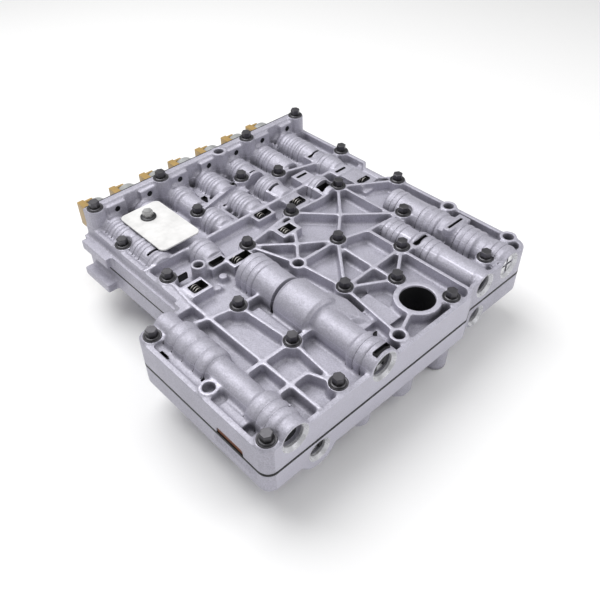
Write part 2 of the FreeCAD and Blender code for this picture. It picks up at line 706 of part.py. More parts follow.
# The rim and slab stop short of the front face's back corner on the left, where only the ledge is low
upper_tools.append(placed_box("back_step", ("left_back_x - hump_overlap", "left_step_y + corner_left_r",
                                            "ledge_top"),
                              ("back_ledge + hump_overlap", "back_y - left_step_y", "wall_top_z - ledge_top")))
upper_casting = cut("upper_casting", upper_mass, fuse("upper_hollows", upper_tools))

# Lower casting: the same outline below the separator plate, a ribbed underside and hanging domes
lower_top = "parting_z - plate_thick"
lower_foot = "parting_z - plate_thick - lower_deep"
lower_blank = new_body("lower_blank")
lower_sketch = new_sketch(lower_blank, "lower_outline", "XY_Plane", lower_foot)
draw_loop(lower_sketch, outline("0"))
pad(lower_blank, "lower_slab", lower_sketch, "lower_deep")
round_outline(lower_blank, "lower_corner", "0")
under_sketch = new_sketch(lower_blank, "under_tray_outline", "XY_Plane", lower_foot)
draw_loop(under_sketch, outline("wall_thick"))
pocket(lower_blank, "under_tray", under_sketch, "lower_floor_deep").Reversed = True
round_outline(lower_blank, "under_tray_corner", "wall_thick")

lower_parts = [lower_blank]
for name in CASE_HOLES:
    lower_parts.append(post(name + "_foot", name + "_x", name + "_y", lower_foot, "case_ring_r", "lower_deep"))
lower_parts.append(post("wall_hole_foot", "wall_hole_x", "wall_hole_y", lower_foot, "case_ring_r",
                        "lower_deep"))
for index, (start, end) in enumerate(UNDER_RIBS):
    lower_parts.append(rib("under_rib_%02d" % index, start, end, lower_foot,
                           "lower_floor_deep + hump_overlap"))
for name in LOW_BORES:
    lower_parts.extend(hump(name))
for name in DOMES:
    dome = doc.addObject("Part::Cone", name)
    bind(dome, "Placement.Base.x", name + "_x")
    bind(dome, "Placement.Base.y", name + "_y")
    bind(dome, "Placement.Base.z", name + "_foot")
    bind(dome, "Radius1", name + "_r")
    bind(dome, "Radius2", name + "_r + dome_taper")
    bind(dome, "Height", lower_top + " - hump_overlap - %s_foot" % name)
    lower_parts.append(dome)
lower_parts.append(placed_box("low_ledge", ("low_ledge_x", "low_ledge_y0", "low_ledge_top - low_ledge_thick"),
                              ("left_back_x - low_ledge_x + hump_overlap", "low_ledge_y1 - low_ledge_y0",
                               "low_ledge_thick")))
lower_parts.append(placed_box("side_lip", ("left_x - lip_proud", "lip_y0", "lip_top - lip_high"),
                              ("lip_proud + hump_overlap", "lip_y1 - lip_y0", "lip_high")))
lower_mass = fuse("lower_mass", lower_parts)

lower_tools = [placed_box("above_parting", ("left_x - mouth_deep", "front_y - mouth_deep", lower_top),
                          ("right_x - left_x + mouth_deep * 2", "back_y - front_y + mouth_deep * 2",
                           "mouth_deep"))]
for name in {**BOLTS, **WALL_BOLTS}:
    lower_tools.append(eight_post(name + "_thread", name + "_x", name + "_y",
                                  lower_top + " - thread_deep - hump_overlap", "bolt_shank_r + thread_gap",
                                  "thread_deep + hump_overlap * 2"))
for name in CASE_HOLES:
    lower_tools.append(post(name + "_low_hole", name + "_x", name + "_y", lower_foot + " - hump_overlap",
                            "case_hole_r", "lower_deep + hump_overlap * 2"))
lower_tools.append(post("wall_low_hole", "wall_hole_x", "wall_hole_y", lower_foot + " - hump_overlap",
                        "case_hole_r", "lower_deep + hump_overlap * 2"))
lower_tools.append(post("port_low", "0", "0", lower_top + " - port_blind", "port_r",
                        "port_blind + hump_overlap"))
for name in LOW_BORES:
    lower_tools.extend(bore_tools(name))
    lower_tools.append(clip_slot(name))
lower_casting = cut("lower_casting", lower_mass, fuse("lower_hollows", lower_tools))

# Separator plate between the castings, set back from their outline: it shows as a thin dark line
plate_blank = new_body("plate_blank")
plate_sketch = new_sketch(plate_blank, "plate_outline", "XY_Plane", lower_top)
draw_loop(plate_sketch, outline("plate_inset"))
pad(plate_blank, "plate_sheet", plate_sketch, "plate_thick")
round_outline(plate_blank, "plate_corner", "plate_inset")
plate_tools = []
plate_low = lower_top + " - hump_overlap"
plate_high = "plate_thick + hump_overlap * 2"
for name in {**BOLTS, **WALL_BOLTS}:
    plate_tools.append(eight_post(name + "_pass", name + "_x", name + "_y", plate_low,
                                  "bolt_shank_r + bolt_gap", plate_high))
for name in CASE_HOLES:
    plate_tools.append(post(name + "_pass", name + "_x", name + "_y", plate_low, "case_hole_r", plate_high))
plate_tools.append(post("wall_hole_pass", "wall_hole_x", "wall_hole_y", plate_low, "case_hole_r", plate_high))
plate_tools.append(post("port_pass", "0", "0", plate_low, "port_r", plate_high))
separator_plate = cut("separator_plate", plate_blank, fuse("plate_holes", plate_tools))

# Amber screen in the notch of the left side, standing on the separator plate
side_screen = placed_box("side_screen",
                         ("left_x + screen_set_back", "side_notch_y0 + screen_gap", "parting_z"),
                         ("side_notch_deep - screen_set_back - screen_gap",
                          "side_notch_y1 - side_notch_y0 - screen_gap * 2",
                          "side_notch_high - screen_gap"))

# Hex-flange bolts: one master for each length, repeated at its seats
def bolt_master(name, shank_length):
    """A bolt whose seat is on z = 0: shank below, flange and hexagon above."""
    flange = post(name + "_flange", "0", "0", "0", "flange_r", "flange_thick")
    shank = eight_post(name + "_shank", "0", "0", "0 - (%s)" % shank_length, "bolt_shank_r",
                       shank_length + " + flange_thick")
    hexagon = doc.addObject("Part::Prism", name + "_hexagon")
    hexagon.Polygon = HEX_SIDES
    bind(hexagon, "Circumradius", "hex_across / 2 / cos(180 / %d)" % HEX_SIDES)
    bind(hexagon, "Height", "head_high")
    return fuse(name, [flange, shank, hexagon])


reach = "plate_thick + thread_deep"
body_bolt = bolt_master("body_bolt_master", "0 - parting_z + " + reach)
wall_bolt = bolt_master("wall_bolt_master", "wall_seat_z - parting_z + " + reach)
tag_bolt = bolt_master("tag_bolt", "tag_shank")
bind(tag_bolt, "Placement.Base.x", "tag_bolt_x")
bind(tag_bolt, "Placement.Base.y", "tag_bolt_y")
bind(tag_bolt, "Placement.Base.z", "tag_z + tag_thick")

# White tag under its bolt, left bare
tag_body = new_body("tag_blank")
tag_sketch = new_sketch(tag_body, "tag_outline", "XY_Plane", "tag_z")
tag_corners = [("tag_x0", "tag_y0"), ("tag_x1", "tag_y0"), ("tag_x1", "tag_y1"), ("tag_x0", "tag_y1")]
draw_loop(tag_sketch, tag_corners)
pad(tag_body, "tag_sheet", tag_sketch, "tag_thick")
round_uprights(tag_body, "tag_corner", tag_corners, "tag_corner_r")
tag = cut("tag", tag_body, eight_post("tag_pass", "tag_bolt_x", "tag_bolt_y", "tag_z - hump_overlap",
                                      "bolt_shank_r + bolt_gap", "tag_thick + hump_overlap * 2"))

# Solenoids behind the wall: nose in the wall's bore, neck in the retainer, steel can and connector
solenoids = []
connectors = []
notches = []
screws = []
for index in range(7):
    axis_x = "solenoid_first_x + solenoid_pitch * %d" % index
    nose = along_y("nose_%d" % index, axis_x, "back_y - nose_length", "solenoid_z", "nose_r", "nose_length")
    neck = along_y("neck_%d" % index, axis_x, "back_y", "solenoid_z", "neck_r",
                   "neck_length + hump_overlap")
    can = along_y("can_%d" % index, axis_x, "back_y + neck_length", "solenoid_z", "solenoid_r",
                  "solenoid_length")
    solenoids.append(fuse("solenoid_%d" % index, [nose, neck, can]))
    shell = placed_box("connector_block_%d" % index,
                       (axis_x + " + connector_x0", "back_y + connector_y0", "solenoid_z + connector_low"),
                       ("connector_x1 - connector_x0", "connector_y1 - connector_y0",
                        "connector_high - connector_low"))
    mouth = placed_box("connector_mouth_%d" % index,
                       (axis_x + " + connector_x0 + mouth_inset",
                        "back_y + connector_y1 - connector_mouth_deep",
                        "solenoid_z + connector_low + mouth_inset"),
                       ("connector_x1 - connector_x0 - mouth_inset * 2",
                        "connector_mouth_deep + hump_overlap", "connector_high - connector_low - mouth_inset * 2"))
    seat = along_y("connector_seat_%d" % index, axis_x, "back_y", "solenoid_z",
                   "solenoid_r + connector_gap", "neck_length + solenoid_length + connector_gap")
    connectors.append(cut("connector_%d" % index, shell, fuse("connector_hollow_%d" % index, [mouth, seat])))
    notches.append(placed_box("retainer_notch_%d" % index,
                              (axis_x + " - neck_r - retainer_gap", "back_y - hump_overlap",
                               "retainer_low_z - hump_overlap"),
                              ("neck_r * 2 + retainer_gap * 2", "retainer_thick + hump_overlap * 2",
                               "solenoid_z + neck_r + retainer_gap - retainer_low_z + hump_overlap")))
    notches.append(lying(eight_post("retainer_pass_%d" % index, axis_x, "back_y - hump_overlap", "screw_z",
                                    "screw_r + thread_gap", "retainer_thick + hump_overlap * 2")))
    stem = along_y("screw_stem_%d" % index, axis_x, "pad_front_y + screw_set_back", "screw_z", "screw_r",
                   "back_y + retainer_thick + hump_overlap - pad_front_y - screw_set_back")
    head = doc.addObject("Part::Prism", "screw_head_%d" % index)
    head.Polygon = HEX_SIDES
    bind(head, "Circumradius", "hex_across / 2 / cos(180 / %d)" % HEX_SIDES)
    bind(head, "Height", "screw_head_high")
    bind(head, "Placement.Base.x", axis_x)
    bind(head, "Placement.Base.y", "back_y + retainer_thick")
    bind(head, "Placement.Base.z", "screw_z")
    screws.append(fuse("retainer_screw_%d" % index, [stem, lying(head)]))
retainer_strip = placed_box("retainer_strip",
                            ("wall_end_x + retainer_end", "back_y", "retainer_low_z"),
                            ("right_x - wall_end_x - retainer_end * 2", "retainer_thick",
                             "retainer_top_z - retainer_low_z"))
solenoid_retainer = cut("solenoid_retainer", retainer_strip, fuse("retainer_openings", notches))

# Spool valves, return springs, plugs and clips of the front bores
def turned(name, profile, bore):
    """A turned piece on the axis of a bore; the profile is (radius, distance behind the face) pairs."""
    body = new_body(name)
    sketch = new_sketch(body, name + "_profile", "XY_Plane")
    draw_loop(sketch, profile)
    revolve(body, name + "_turn", sketch)
    bind(body, "Placement.Base.x", bore + "_axis_x")
    bind(body, "Placement.Base.y", FRONT_BORES[bore][2])
    bind(body, "Placement.Base.z", bore + "_axis_z")
    return body


def spool_profile(name):
    """Half section of a spool: two lands with a groove between them."""
    land = name + "_bore_r - valve_gap"
    groove = "(%s_bore_r - valve_gap) * groove_share" % name
    start = "mouth_deep + end_gap"
    step = "(%s_deep - mouth_deep - spring_length - end_gap * 3) / %d" % (name, SPOOL_PARTS)
    corners = [("0", start)]
    for index in range(SPOOL_PARTS):
        radius = groove if index % 2 else land
        corners.append((radius, "%s + %s * %d" % (start, step, index)))
        corners.append((radius, "%s + %s * %d" % (start, step, index + 1)))
    corners.append(("0", "%s + %s * %d" % (start, step, SPOOL_PARTS)))
    return corners


def clip(name):
    """A forked clip in front of a plug: the main bore's goes in from the top, the others' from the plate."""
    from_top = name == "main" or name in LOW_BORES
    axis_z = name + "_axis_z"
    y0 = "%s + %s_clip_behind - clip_thick / 2" % (FRONT_BORES[name][2], name)
    if name == "main":
        outer_z = "main_clip_top"
    elif from_top:
        outer_z = lower_top + " - clip_gap"
    else:
        outer_z = "parting_z + clip_gap"
    low, high = (axis_z + " - clip_tip", outer_z) if from_top else (outer_z, axis_z + " + clip_tip")
    plate = placed_box(name + "_clip_plate", (name + "_axis_x - clip_half", y0, low),
                       ("clip_half * 2", "clip_thick", "%s - (%s)" % (high, low)))
    fork_low = axis_z + (" - clip_tip - hump_overlap" if from_top else "")
    fork = placed_box(name + "_clip_fork",
                      (name + "_axis_x - clip_fork_half", y0 + " - hump_overlap", fork_low),
                      ("clip_fork_half * 2", "clip_thick + hump_overlap * 2", "clip_tip + hump_overlap"))
    return cut(name + "_clip", plate, fork)


valves = {}
springs = []
plugs = []
clips = []
for name in FRONT_BORES:
    valves[name] = turned("valve_" + name, spool_profile(name), name)
    outer = name + "_bore_r - spring_gap"
    inner = outer + " - spring_wire"
    low = name + "_deep - spring_length"
    high = name + "_deep - end_gap"
    springs.append(turned("spring_" + name, [(inner, low), (outer, low), (outer, high), (inner, high)], name))
    front = name + "_clip_behind + clip_thick / 2 + valve_gap" if name in CLIPS else "screwed_recess"
    plug = along_y("plug_" + name, name + "_axis_x", "%s + %s" % (FRONT_BORES[name][2], front),
                   name + "_axis_z", name + "_mouth_r - valve_gap", "mouth_deep - (%s)" % front)
    if name in CLIPS:
        clips.append(clip(name))
    else:
        arms = [placed_box("cross_arm_a", ("right_axis_x - right_mouth_r", "front_right_y",
                                           "right_axis_z - cross_wide / 2"),
                           ("right_mouth_r * 2", "screwed_recess + cross_deep", "cross_wide")),
                placed_box("cross_arm_b", ("right_axis_x - cross_wide / 2", "front_right_y",
                                           "right_axis_z - right_mouth_r"),
                           ("cross_wide", "screwed_recess + cross_deep", "right_mouth_r * 2"))]
        plug = cut("plug_crossed", plug, fuse("cross_slot", arms))
    plugs.append(plug)


def linked(name, master, places):
    """Copies of a master at the seats that places names, kept as separate solids in one piece list."""
    copies = []
    for seat, height in places:
        copy = doc.addObject("App::Link", "%s_at_%s" % (name, seat))
        copy.LinkedObject = master
        bind(copy, "Placement.Base.x", seat + "_x")
        bind(copy, "Placement.Base.y", seat + "_y")
        bind(copy, "Placement.Base.z", height)
        copies.append(copy)
    return grouped(name, copies)


def grouped(name, parts):
    group = doc.addObject("Part::Compound", name)
    group.Links = parts
    return group


nodes = {
    "upper_casting": upper_casting,
    "lower_casting": lower_casting,
    "separator_plate": separator_plate,
    "side_screen": side_screen,
    "body_bolts": linked("body_bolts", body_bolt, [(seat, "0") for seat in BOLTS]),
    "wall_bolts": linked("wall_bolts", wall_bolt, [(seat, "wall_seat_z") for seat in WALL_BOLTS]),
    "tag": tag,
    "tag_bolt": tag_bolt,
    "solenoid_retainer": solenoid_retainer,
    "retainer_screws": grouped("retainer_screws", screws),
    "solenoids": grouped("solenoids", solenoids),
    "solenoid_connectors": grouped("solenoid_connectors", connectors),
    "bore_plugs": grouped("bore_plugs", plugs),
    "plug_clips": grouped("plug_clips", clips),
    "valve_springs": grouped("valve_springs", springs),
}
for name, valve in valves.items():
    nodes["valve_" + name] = valve
for name, part in nodes.items():
    part.Label = name
doc.recompute()

# Nothing is written unless every feature is sound
for part in doc.Objects:
    if "Invalid" in part.State or "Error" in part.State:
        raise RuntimeError("failed feature: " + part.Name)
for name, part in nodes.items():
    if part.Shape.isNull() or not part.Shape.isValid():
        raise RuntimeError("bad shape: " + name)
os.makedirs("parts", exist_ok=True)
for name, part in nodes.items():
    part.Shape.exportStep("parts/%s.step" % name)
    print(name, len(part.Shape.Solids), round(part.Shape.Volume))
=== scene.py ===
"""Looks of a transmission valve body: two die castings, their bolts, the solenoid row and the tag."""
import json
import math

import bmesh
import bpy
from mathutils import Matrix, Vector


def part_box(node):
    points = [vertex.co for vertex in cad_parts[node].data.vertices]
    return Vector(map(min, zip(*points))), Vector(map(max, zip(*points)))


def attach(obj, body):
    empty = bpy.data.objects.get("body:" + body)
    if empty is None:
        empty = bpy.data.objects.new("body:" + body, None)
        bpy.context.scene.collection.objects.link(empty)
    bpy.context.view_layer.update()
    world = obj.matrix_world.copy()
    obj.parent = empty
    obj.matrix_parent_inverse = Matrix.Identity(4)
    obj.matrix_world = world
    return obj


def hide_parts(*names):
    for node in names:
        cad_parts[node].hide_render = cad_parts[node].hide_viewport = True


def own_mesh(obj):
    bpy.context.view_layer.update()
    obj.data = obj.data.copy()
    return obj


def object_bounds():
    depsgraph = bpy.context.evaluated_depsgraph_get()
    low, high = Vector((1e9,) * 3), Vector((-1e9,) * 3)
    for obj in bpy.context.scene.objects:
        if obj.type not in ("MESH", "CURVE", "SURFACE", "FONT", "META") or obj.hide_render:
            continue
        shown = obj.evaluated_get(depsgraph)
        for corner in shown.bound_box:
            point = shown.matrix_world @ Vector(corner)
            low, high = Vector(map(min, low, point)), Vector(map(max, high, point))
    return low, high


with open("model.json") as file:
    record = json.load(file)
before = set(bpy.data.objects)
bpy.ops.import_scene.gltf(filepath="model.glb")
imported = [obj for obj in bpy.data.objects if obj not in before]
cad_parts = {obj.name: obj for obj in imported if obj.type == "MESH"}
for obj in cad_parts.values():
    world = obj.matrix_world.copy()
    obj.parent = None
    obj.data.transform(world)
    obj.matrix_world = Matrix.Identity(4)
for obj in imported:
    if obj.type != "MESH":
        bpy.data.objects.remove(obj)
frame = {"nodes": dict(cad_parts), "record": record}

bl_info = {
    "name": "Valve body dresser",
    "version": (1, 0, 0),
    "blender": (4, 5, 0),
    "location": "3D View > Sidebar > Valve Body",
    "description": "Cast skins, fasteners, solenoids and stage for a valve body",
    "category": "Object",
}

CAD_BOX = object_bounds()
HOUSING = "valve_housing"
MM = 0.001
UPPER_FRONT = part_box("upper_casting")[0].y
SEAT_LEVEL = 0.0
PARTING_LEVEL = -27.0
# Levels in mm that lie inside the casting's floor and above all its forms
FLOOR_INSIDE = -12.0
ABOVE_ALL = 21.0

# Rings round the humps over the bores, in mm: axis x, axis z, radius at the foot, (y from, y to) of each
RING_SETS = (
    (-151.2, -5.6, 13.0, ((-18, -11), (-10, -3), (-2, 8))),
    (-151.2, -5.6, 12.9, ((53, 62), (63, 74.5), (75.5, 87), (88, 97.5))),
    (-67.2, -3.7, 14.1, ((-16.5, -10), (-9, -3))),
    (-67.2, -3.7, 16.1, ((96, 102), (103, 109), (110, 116))),
    (58.5, -10.4, 13.1, ((29, 34.5), (35.5, 40.5), (45, 49))),
    (58.5, -10.4, 11.9, ((62, 67), (68, 73), (74, 79))),
    (90.9, -8.8, 14.1, ((-18, -12.5), (-11.5, -6), (8, 13), (14.5, 19.5), (21, 26))),
    (90.9, -8.8, 13.9, ((47, 52), (53.5, 58.5), (60, 65.5), (91, 96), (97.5, 103))),
)
# The humps over the closed bores at the back, in mm, and their rings: which of the row, (y from, y to)
REAR_ROW_X = -113.0
REAR_ROW_PITCH = 34.0
REAR_ROW_Z = -8.0
REAR_RADIUS = 12.1
REAR_RINGS = (
    (0, ((240, 246), (231, 236), (222, 227), (199, 204), (190, 195), (174, 179))),
    (1, ((240, 246), (231, 236), (160, 166))),
    (2, ((240, 246), (232, 237), (190, 196), (181, 186))),
    (3, ((240, 246), (232, 237), (224.5, 229.5), (197, 202), (189, 194), (181, 186))),
    (4, ((240, 246), (232, 237), (197, 202), (189.5, 194.5))),
    (5, ((240, 246), (232, 237), (224.5, 229.5), (162, 168))),
    (6, ((240, 246), (232, 237), (224.5, 229.5), (217, 222), (186, 191))),
)
# Pointed nubs and small bosses on the floor of the tray, in mm: x, y, foot radius, top radius, top level
NUBS = (
    (-85.6, 249.0, 4.5, 0.8, 0.5), (-17.7, 249.5, 4.5, 0.8, 0.5), (-32.6, 244.0, 5.5, 2.5, -2.0),
    (49.5, 247.0, 5.0, 2.0, -1.5), (75.0, 249.0, 4.5, 0.8, 0.0), (-53.3, 189.4, 5.2, 4.2, -6.5),
    (-24.4, 202.9, 4.8, 3.8, -4.5), (-60.0, 121.5, 5.0, 4.0, -5.5), (-86.0, 128.0, 4.5, 3.5, -5.0),
    (-97.0, 121.0, 4.0, 3.0, -6.0),
)
# Holes down the two small bosses, in mm: x, y, z from, z to, radius
BOSS_HOLES = ((-53.3, 189.4, -9.5, -3.0, 2.2), (-24.4, 202.9, -8.0, -1.0, 1.6))
# Pads with rounded corners and raised floors, in mm: x from, x to, y from, y to, top level, corner radius
PADS = (
    (75.5, 101, 29.5, 37.2, 6.6, 3.0), (98, 105.5, 35, 40, 1.9, 0.5), (-170.5, -158, 44, 99.5, -4.6, 1.5),
    (-170.5, -156, 24, 46, -7.2, 1.0),
)
# Drum that closes the dip in the right hump, in mm: axis x, axis z, y from, y to, radius
HUMP_FILLING = (90.9, -8.8, 36.8, 43.0, 13.9)
# Windows and clip slots cut into the humps and pads, in mm: x from, x to, y from, y to, top, depth
WINDOWS = (
    (-60.4, -57.2, -9.9, -8.5, 12, 5), (-118, -104.5, 122, 131.5, 1, 9), (-74, -55.5, 127.5, 135.5, 1, 9),
    (-18.5, -5, 128.5, 138, 1, 9), (-18, -4, 162.5, 169.5, 0, 8), (17.5, 30.5, 154.5, 162.5, 0, 8),
    (48.5, 61.5, 151.5, 160.5, 1, 9), (86, 98.5, 138.5, 143.5, 0, 7), (-88, -75, 138.5, 144, 1, 9),
)
SLOTS = (
    (15, 26.5, 185.5, 188, 1, 8), (48.5, 60.5, 184, 186.5, 1, 8), (81, 93.5, 165, 167.5, 1, 8),
    (81, 94.5, 202, 204.5, 2, 8), (-119.5, -106.5, 182.5, 185, 3, 8), (-116, -107, 146.5, 148.5, 0, 6),
    (-172.5, -169.5, 84, 92, -2, 12), (79, 98, 32, 34.6, 6.6, 7.9), (47.5, 64, 41, 44.5, 2, 5),
    (-35.5, -31, 219, 223.5, 0, 8), (-2.5, 1.5, 217.5, 222, 0, 8), (19.5, 26, 218.5, 220.5, 1, 8),
)
MAIN_CLIP_SLOT = (-74.2, -60.4, -24.6, -20.6, 12, 5.4)
ALL_WINDOWS = WINDOWS + SLOTS + (MAIN_CLIP_SLOT,)
# Distance in mm from a window's top down to the rim of its dark well, a black tray that paints the shade
# inside the window
WELL_SUNK = 0.8
# Grooves turned round the humps, in mm: axis x, axis z, then their sections as (y, radius) pairs
GROOVES = (
    (-67.2, -3.7, ((67.8, 21.2), (69.9, 18.4), (69.9, 13.2), (72.6, 12.8), (74.6, 17.6), (70.3, 17.6),
                   (70.3, 21.2))),
    (-151.2, -5.6, ((50.6, 15.0), (50.6, 12.0), (52.4, 12.0), (52.4, 15.0))),
)
# Corners of the web that slopes from the bell of the main hump to the floor, in mm
MAIN_WEB = (
    (-61, 32, 8.5), (-50.5, 44.5, 8.5), (-44, 49.5, 1.5), (-40.3, 35, 1.5), (-39.6, 8, -4.6),
    (-48.5, 13.5, -4.6), (-57, 23.5, 1.5), (-61, 32, -11), (-44, 49.5, -11), (-40, 35, -11),
    (-39.4, 7.8, -11), (-48.8, 13, -11),
)
# The supply port's radius, and the top and foot of its dark liner, a black tube that paints the shade
# inside the port, in mm
PORT_RADIUS = 14.0
PORT_LINER = (-1.6, -30.0)
# Springs seen in the windows, in mm: x, y from, y to, axis level
SPRINGS = (
    (-113.5, 122.3, 131.2, -3.6), (-67.5, 127.8, 135.2, -3.6), (-14, 128.8, 137.7, -3.6),
    (-13.5, 162.8, 169.2, -4.4), (24.5, 154.8, 162.2, -4.4), (93, 138.8, 143.2, -4.0),
)
# Wire radius and pitch of the valves' return springs, in mm
RETURN_WIRE = 0.7
RETURN_PITCH = 3.6
# The row of solenoids, in mm: first axis x, pitch, axis z, and the outline of a can as (y, radius) pairs
SOLENOID_X = -104.0
SOLENOID_PITCH = 33.4
SOLENOID_Z = -15.5
SOLENOID_COUNT = 7
CAN_OUTLINE = (
    (245.0, 0.0), (245.0, 6.4), (245.6, 7.0), (260.9, 7.0), (260.9, 5.6), (262.9, 5.6), (262.9, 11.0),
    (263.7, 11.9), (267.4, 11.9), (268.0, 11.3), (269.4, 11.3), (270.0, 11.9), (294.6, 11.9), (296.0, 11.5),
    (297.8, 10.4), (298.8, 9.2), (298.8, 5.0), (297.6, 4.6), (297.6, 0.0),
)
# Boxes of a connector about its can's axis x, in mm: x from, x to, y from, y to, z from, z to
CONNECTOR_BOXES = ((-14.4, -7.6, 275.2, 301.9, -28.3, -4.4), (-14.2, 0.9, 299.0, 301.9, -27.6, -6.0))
# Mouths of the bores in the front, in mm: axis x, axis z, face y, radius
MOUTHS = (
    (-151.2, -5.6, -27, 9.1), (-67.2, -3.7, -27, 9.8), (58.5, -10.4, -21.5, 8.2), (90.9, -8.8, -21.5, 9.1),
    (-129.8, -39.4, -27, 7.4), (54.4, -40.7, -21.5, 7.4),
)
# A bolt's head above its seat, the radius of its shank, and how far the plate's near-black edge, partly a
# painted shadow in the seam, is brought out, in mm
BOLT_HEAD = 7.0
SHANK_RADIUS = 3.0
PLATE_SWELL = 0.84

# Colours of the finishes that a user would leave alone
# Near black of the separator plate: partly its own colour, partly the painted shadow in the seam between
# the castings
PLATE_BLACK_AND_SEAM_SHADE = (0.012, 0.012, 0.013, 1.0)
# Black of the trays and the tube that paint the shade inside the windows and the supply port
WELL_PAINTED_SHADE = (0.008, 0.008, 0.009, 1.0)
WINDOW_SPRING = (0.42, 0.40, 0.38, 1.0)
RETURN_SPRING = (0.55, 0.56, 0.58, 1.0)
MACHINED_ALLOY = (0.66, 0.66, 0.69, 1.0)
ZINC = (0.46, 0.47, 0.47, 1.0)
BLACK_WASHER = (0.06, 0.06, 0.063, 1.0)
# Light grey of the tag bolt's hexagon: a painted highlight, lighter than the same bolt's dark washer
HEXAGON_PAINTED_HIGHLIGHT = (0.42, 0.42, 0.42, 1.0)
SCREEN_AMBER = (0.17, 0.045, 0.01, 1.0)
# Near black of the plug clips, and of the solenoid retainer, whose edge behind the wall is a painted shadow
# line
CLIP_BLACK_AND_RETAINER_SHADE = (0.03, 0.03, 0.032, 1.0)
LABEL_WHITE = (0.74, 0.735, 0.73, 1.0)
TURNED_ALLOY = (0.72, 0.72, 0.74, 1.0)
SCREW_BLACK = (0.02, 0.022, 0.024, 1.0)
PALE_FLOOR = (0.97, 0.97, 0.97, 1.0)

# The camera: its place in metres, its aim, and its lens
CAMERA_PLACE = Vector((-0.3215, -0.2195, 0.350))
CAMERA_AZIMUTH = math.radians(42.478)
CAMERA_PITCH = math.radians(42.707)
CAMERA_ROLL = math.radians(-1.186)
LENS_MM = 40.985
SENSOR_MM = 36.0
# Soft lamps that look at one point, in metres: name, place, side, watts
LAMP_TARGET = (0.0, 0.1, 0.0)
LAMPS = (
    ("key", (-0.15, 0.55, 1.05), 1.0, 12.5), ("fill", (0.6, -0.6, 0.9), 0.9, 4.0),
    ("front", (0.1, -0.95, 0.3), 0.6, 1.2),
)
# Light of the surround as the camera sees it and as it falls on the object
WORLD_SEEN = 1.0
WORLD_LIT = 0.5


class ValveBodySizes(bpy.types.PropertyGroup):
    """Sizes and colours of the dressed valve body."""
    cast_voxel: bpy.props.FloatProperty(
        name="Cast voxel", description="Grain of the remesh that gives the upper casting its small fillets",
        default=0.00075, min=0.0004, max=0.004, unit="LENGTH")
    lower_voxel: bpy.props.FloatProperty(
        name="Lower voxel", description="Grain of the remesh of the lower casting",
        default=0.0011, min=0.0004, max=0.004, unit="LENGTH")
    skin_faces: bpy.props.IntProperty(
        name="Skin triangles", description="Triangles of each casting's skin before its windows are cut",
        default=132000, min=20000, max=150000)
    fillet: bpy.props.FloatProperty(
        name="Fillet", description="Radius of the cast fillets where walls, ribs and humps meet",
        default=0.0012, min=0.0002, max=0.003, unit="LENGTH")
    ring_proud: bpy.props.FloatProperty(
        name="Ring height", description="How far the rings stand out of the humps over the bores",
        default=0.001, min=0.0, max=0.003, unit="LENGTH")
    hex_across: bpy.props.FloatProperty(
        name="Hexagon across flats", description="Width of the bolts' hexagons",
        default=0.0079, min=0.004, max=0.02, unit="LENGTH")
    flange_radius: bpy.props.FloatProperty(
        name="Flange radius", description="Radius of the bolts' flanges",
        default=0.007, min=0.004, max=0.02, unit="LENGTH")
    cast_colour: bpy.props.FloatVectorProperty(
        name="Cast colour", description="Colour of the die-cast aluminium", subtype="COLOR", size=4,
        default=(0.455, 0.445, 0.515, 1.0), min=0.0, max=1.0)
    bolt_colour: bpy.props.FloatVectorProperty(
        name="Bolt colour", description="Colour of the phosphated bolts", subtype="COLOR", size=4,
        default=(0.115, 0.112, 0.122, 1.0), min=0.0, max=1.0)
    amber_colour: bpy.props.FloatVectorProperty(
        name="Amber colour", description="Colour of the connectors and the side screen", subtype="COLOR",
        size=4, default=(0.40, 0.26, 0.085, 1.0), min=0.0, max=1.0)


def sizes():
    """The sizes and colours of the scene's valve body."""
    return bpy.context.scene.valve_body_sizes


def link(name, mesh, material, smooth=None):
    """Put a mesh into the scene as a piece; smooth is the angle below which its edges shade smooth."""
    piece = bpy.data.objects.new(name, mesh)
    bpy.context.scene.collection.objects.link(piece)
    mesh.materials.clear()
    mesh.materials.append(material)
    if smooth is not None:
        mesh.shade_smooth()
        mesh.set_sharp_from_angle(angle=math.radians(smooth))
    return piece


def mesh_of(bm, name):
    """A mesh from a bmesh, which is freed."""
    mesh = bpy.data.meshes.new(name)
    bm.to_mesh(mesh)
    bm.free()
    return mesh


def islands(node):
    """Lowest and highest corners of each loose solid of a CAD node, from left to right."""
    bm = bmesh.new()
    bm.from_mesh(frame["nodes"][node].data)
    bmesh.ops.remove_doubles(bm, verts=bm.verts, dist=1e-6)
    left = set(bm.verts)
    boxes = []
    while left:
        first = left.pop()
        front = [first]
        found = [first.co.copy()]
        while front:
            vert = front.pop()
            for edge in vert.link_edges:
                other = edge.other_vert(vert)
                if other in left:
                    left.remove(other)
                    front.append(other)
                    found.append(other.co.copy())
        low = Vector([min(co[axis] for co in found) for axis in range(3)])
        high = Vector([max(co[axis] for co in found) for axis in range(3)])
        boxes.append((low, high))
    bm.free()
    return sorted(boxes, key=lambda box: (round(box[0].x, 4), box[0].y))


def new_material(name):
    """A material, its node maker, its linker, its shader and the Object coordinates."""
    material = bpy.data.materials.new(name)
    material.use_nodes = True
    tree = material.node_tree
    tree.nodes.clear()
    output = tree.nodes.new("ShaderNodeOutputMaterial")
    shader = tree.nodes.new("ShaderNodeBsdfPrincipled")
    tree.links.new(shader.outputs["BSDF"], output.inputs["Surface"])
    coords = tree.nodes.new("ShaderNodeTexCoord")
    return material, tree, shader, coords.outputs["Object"]


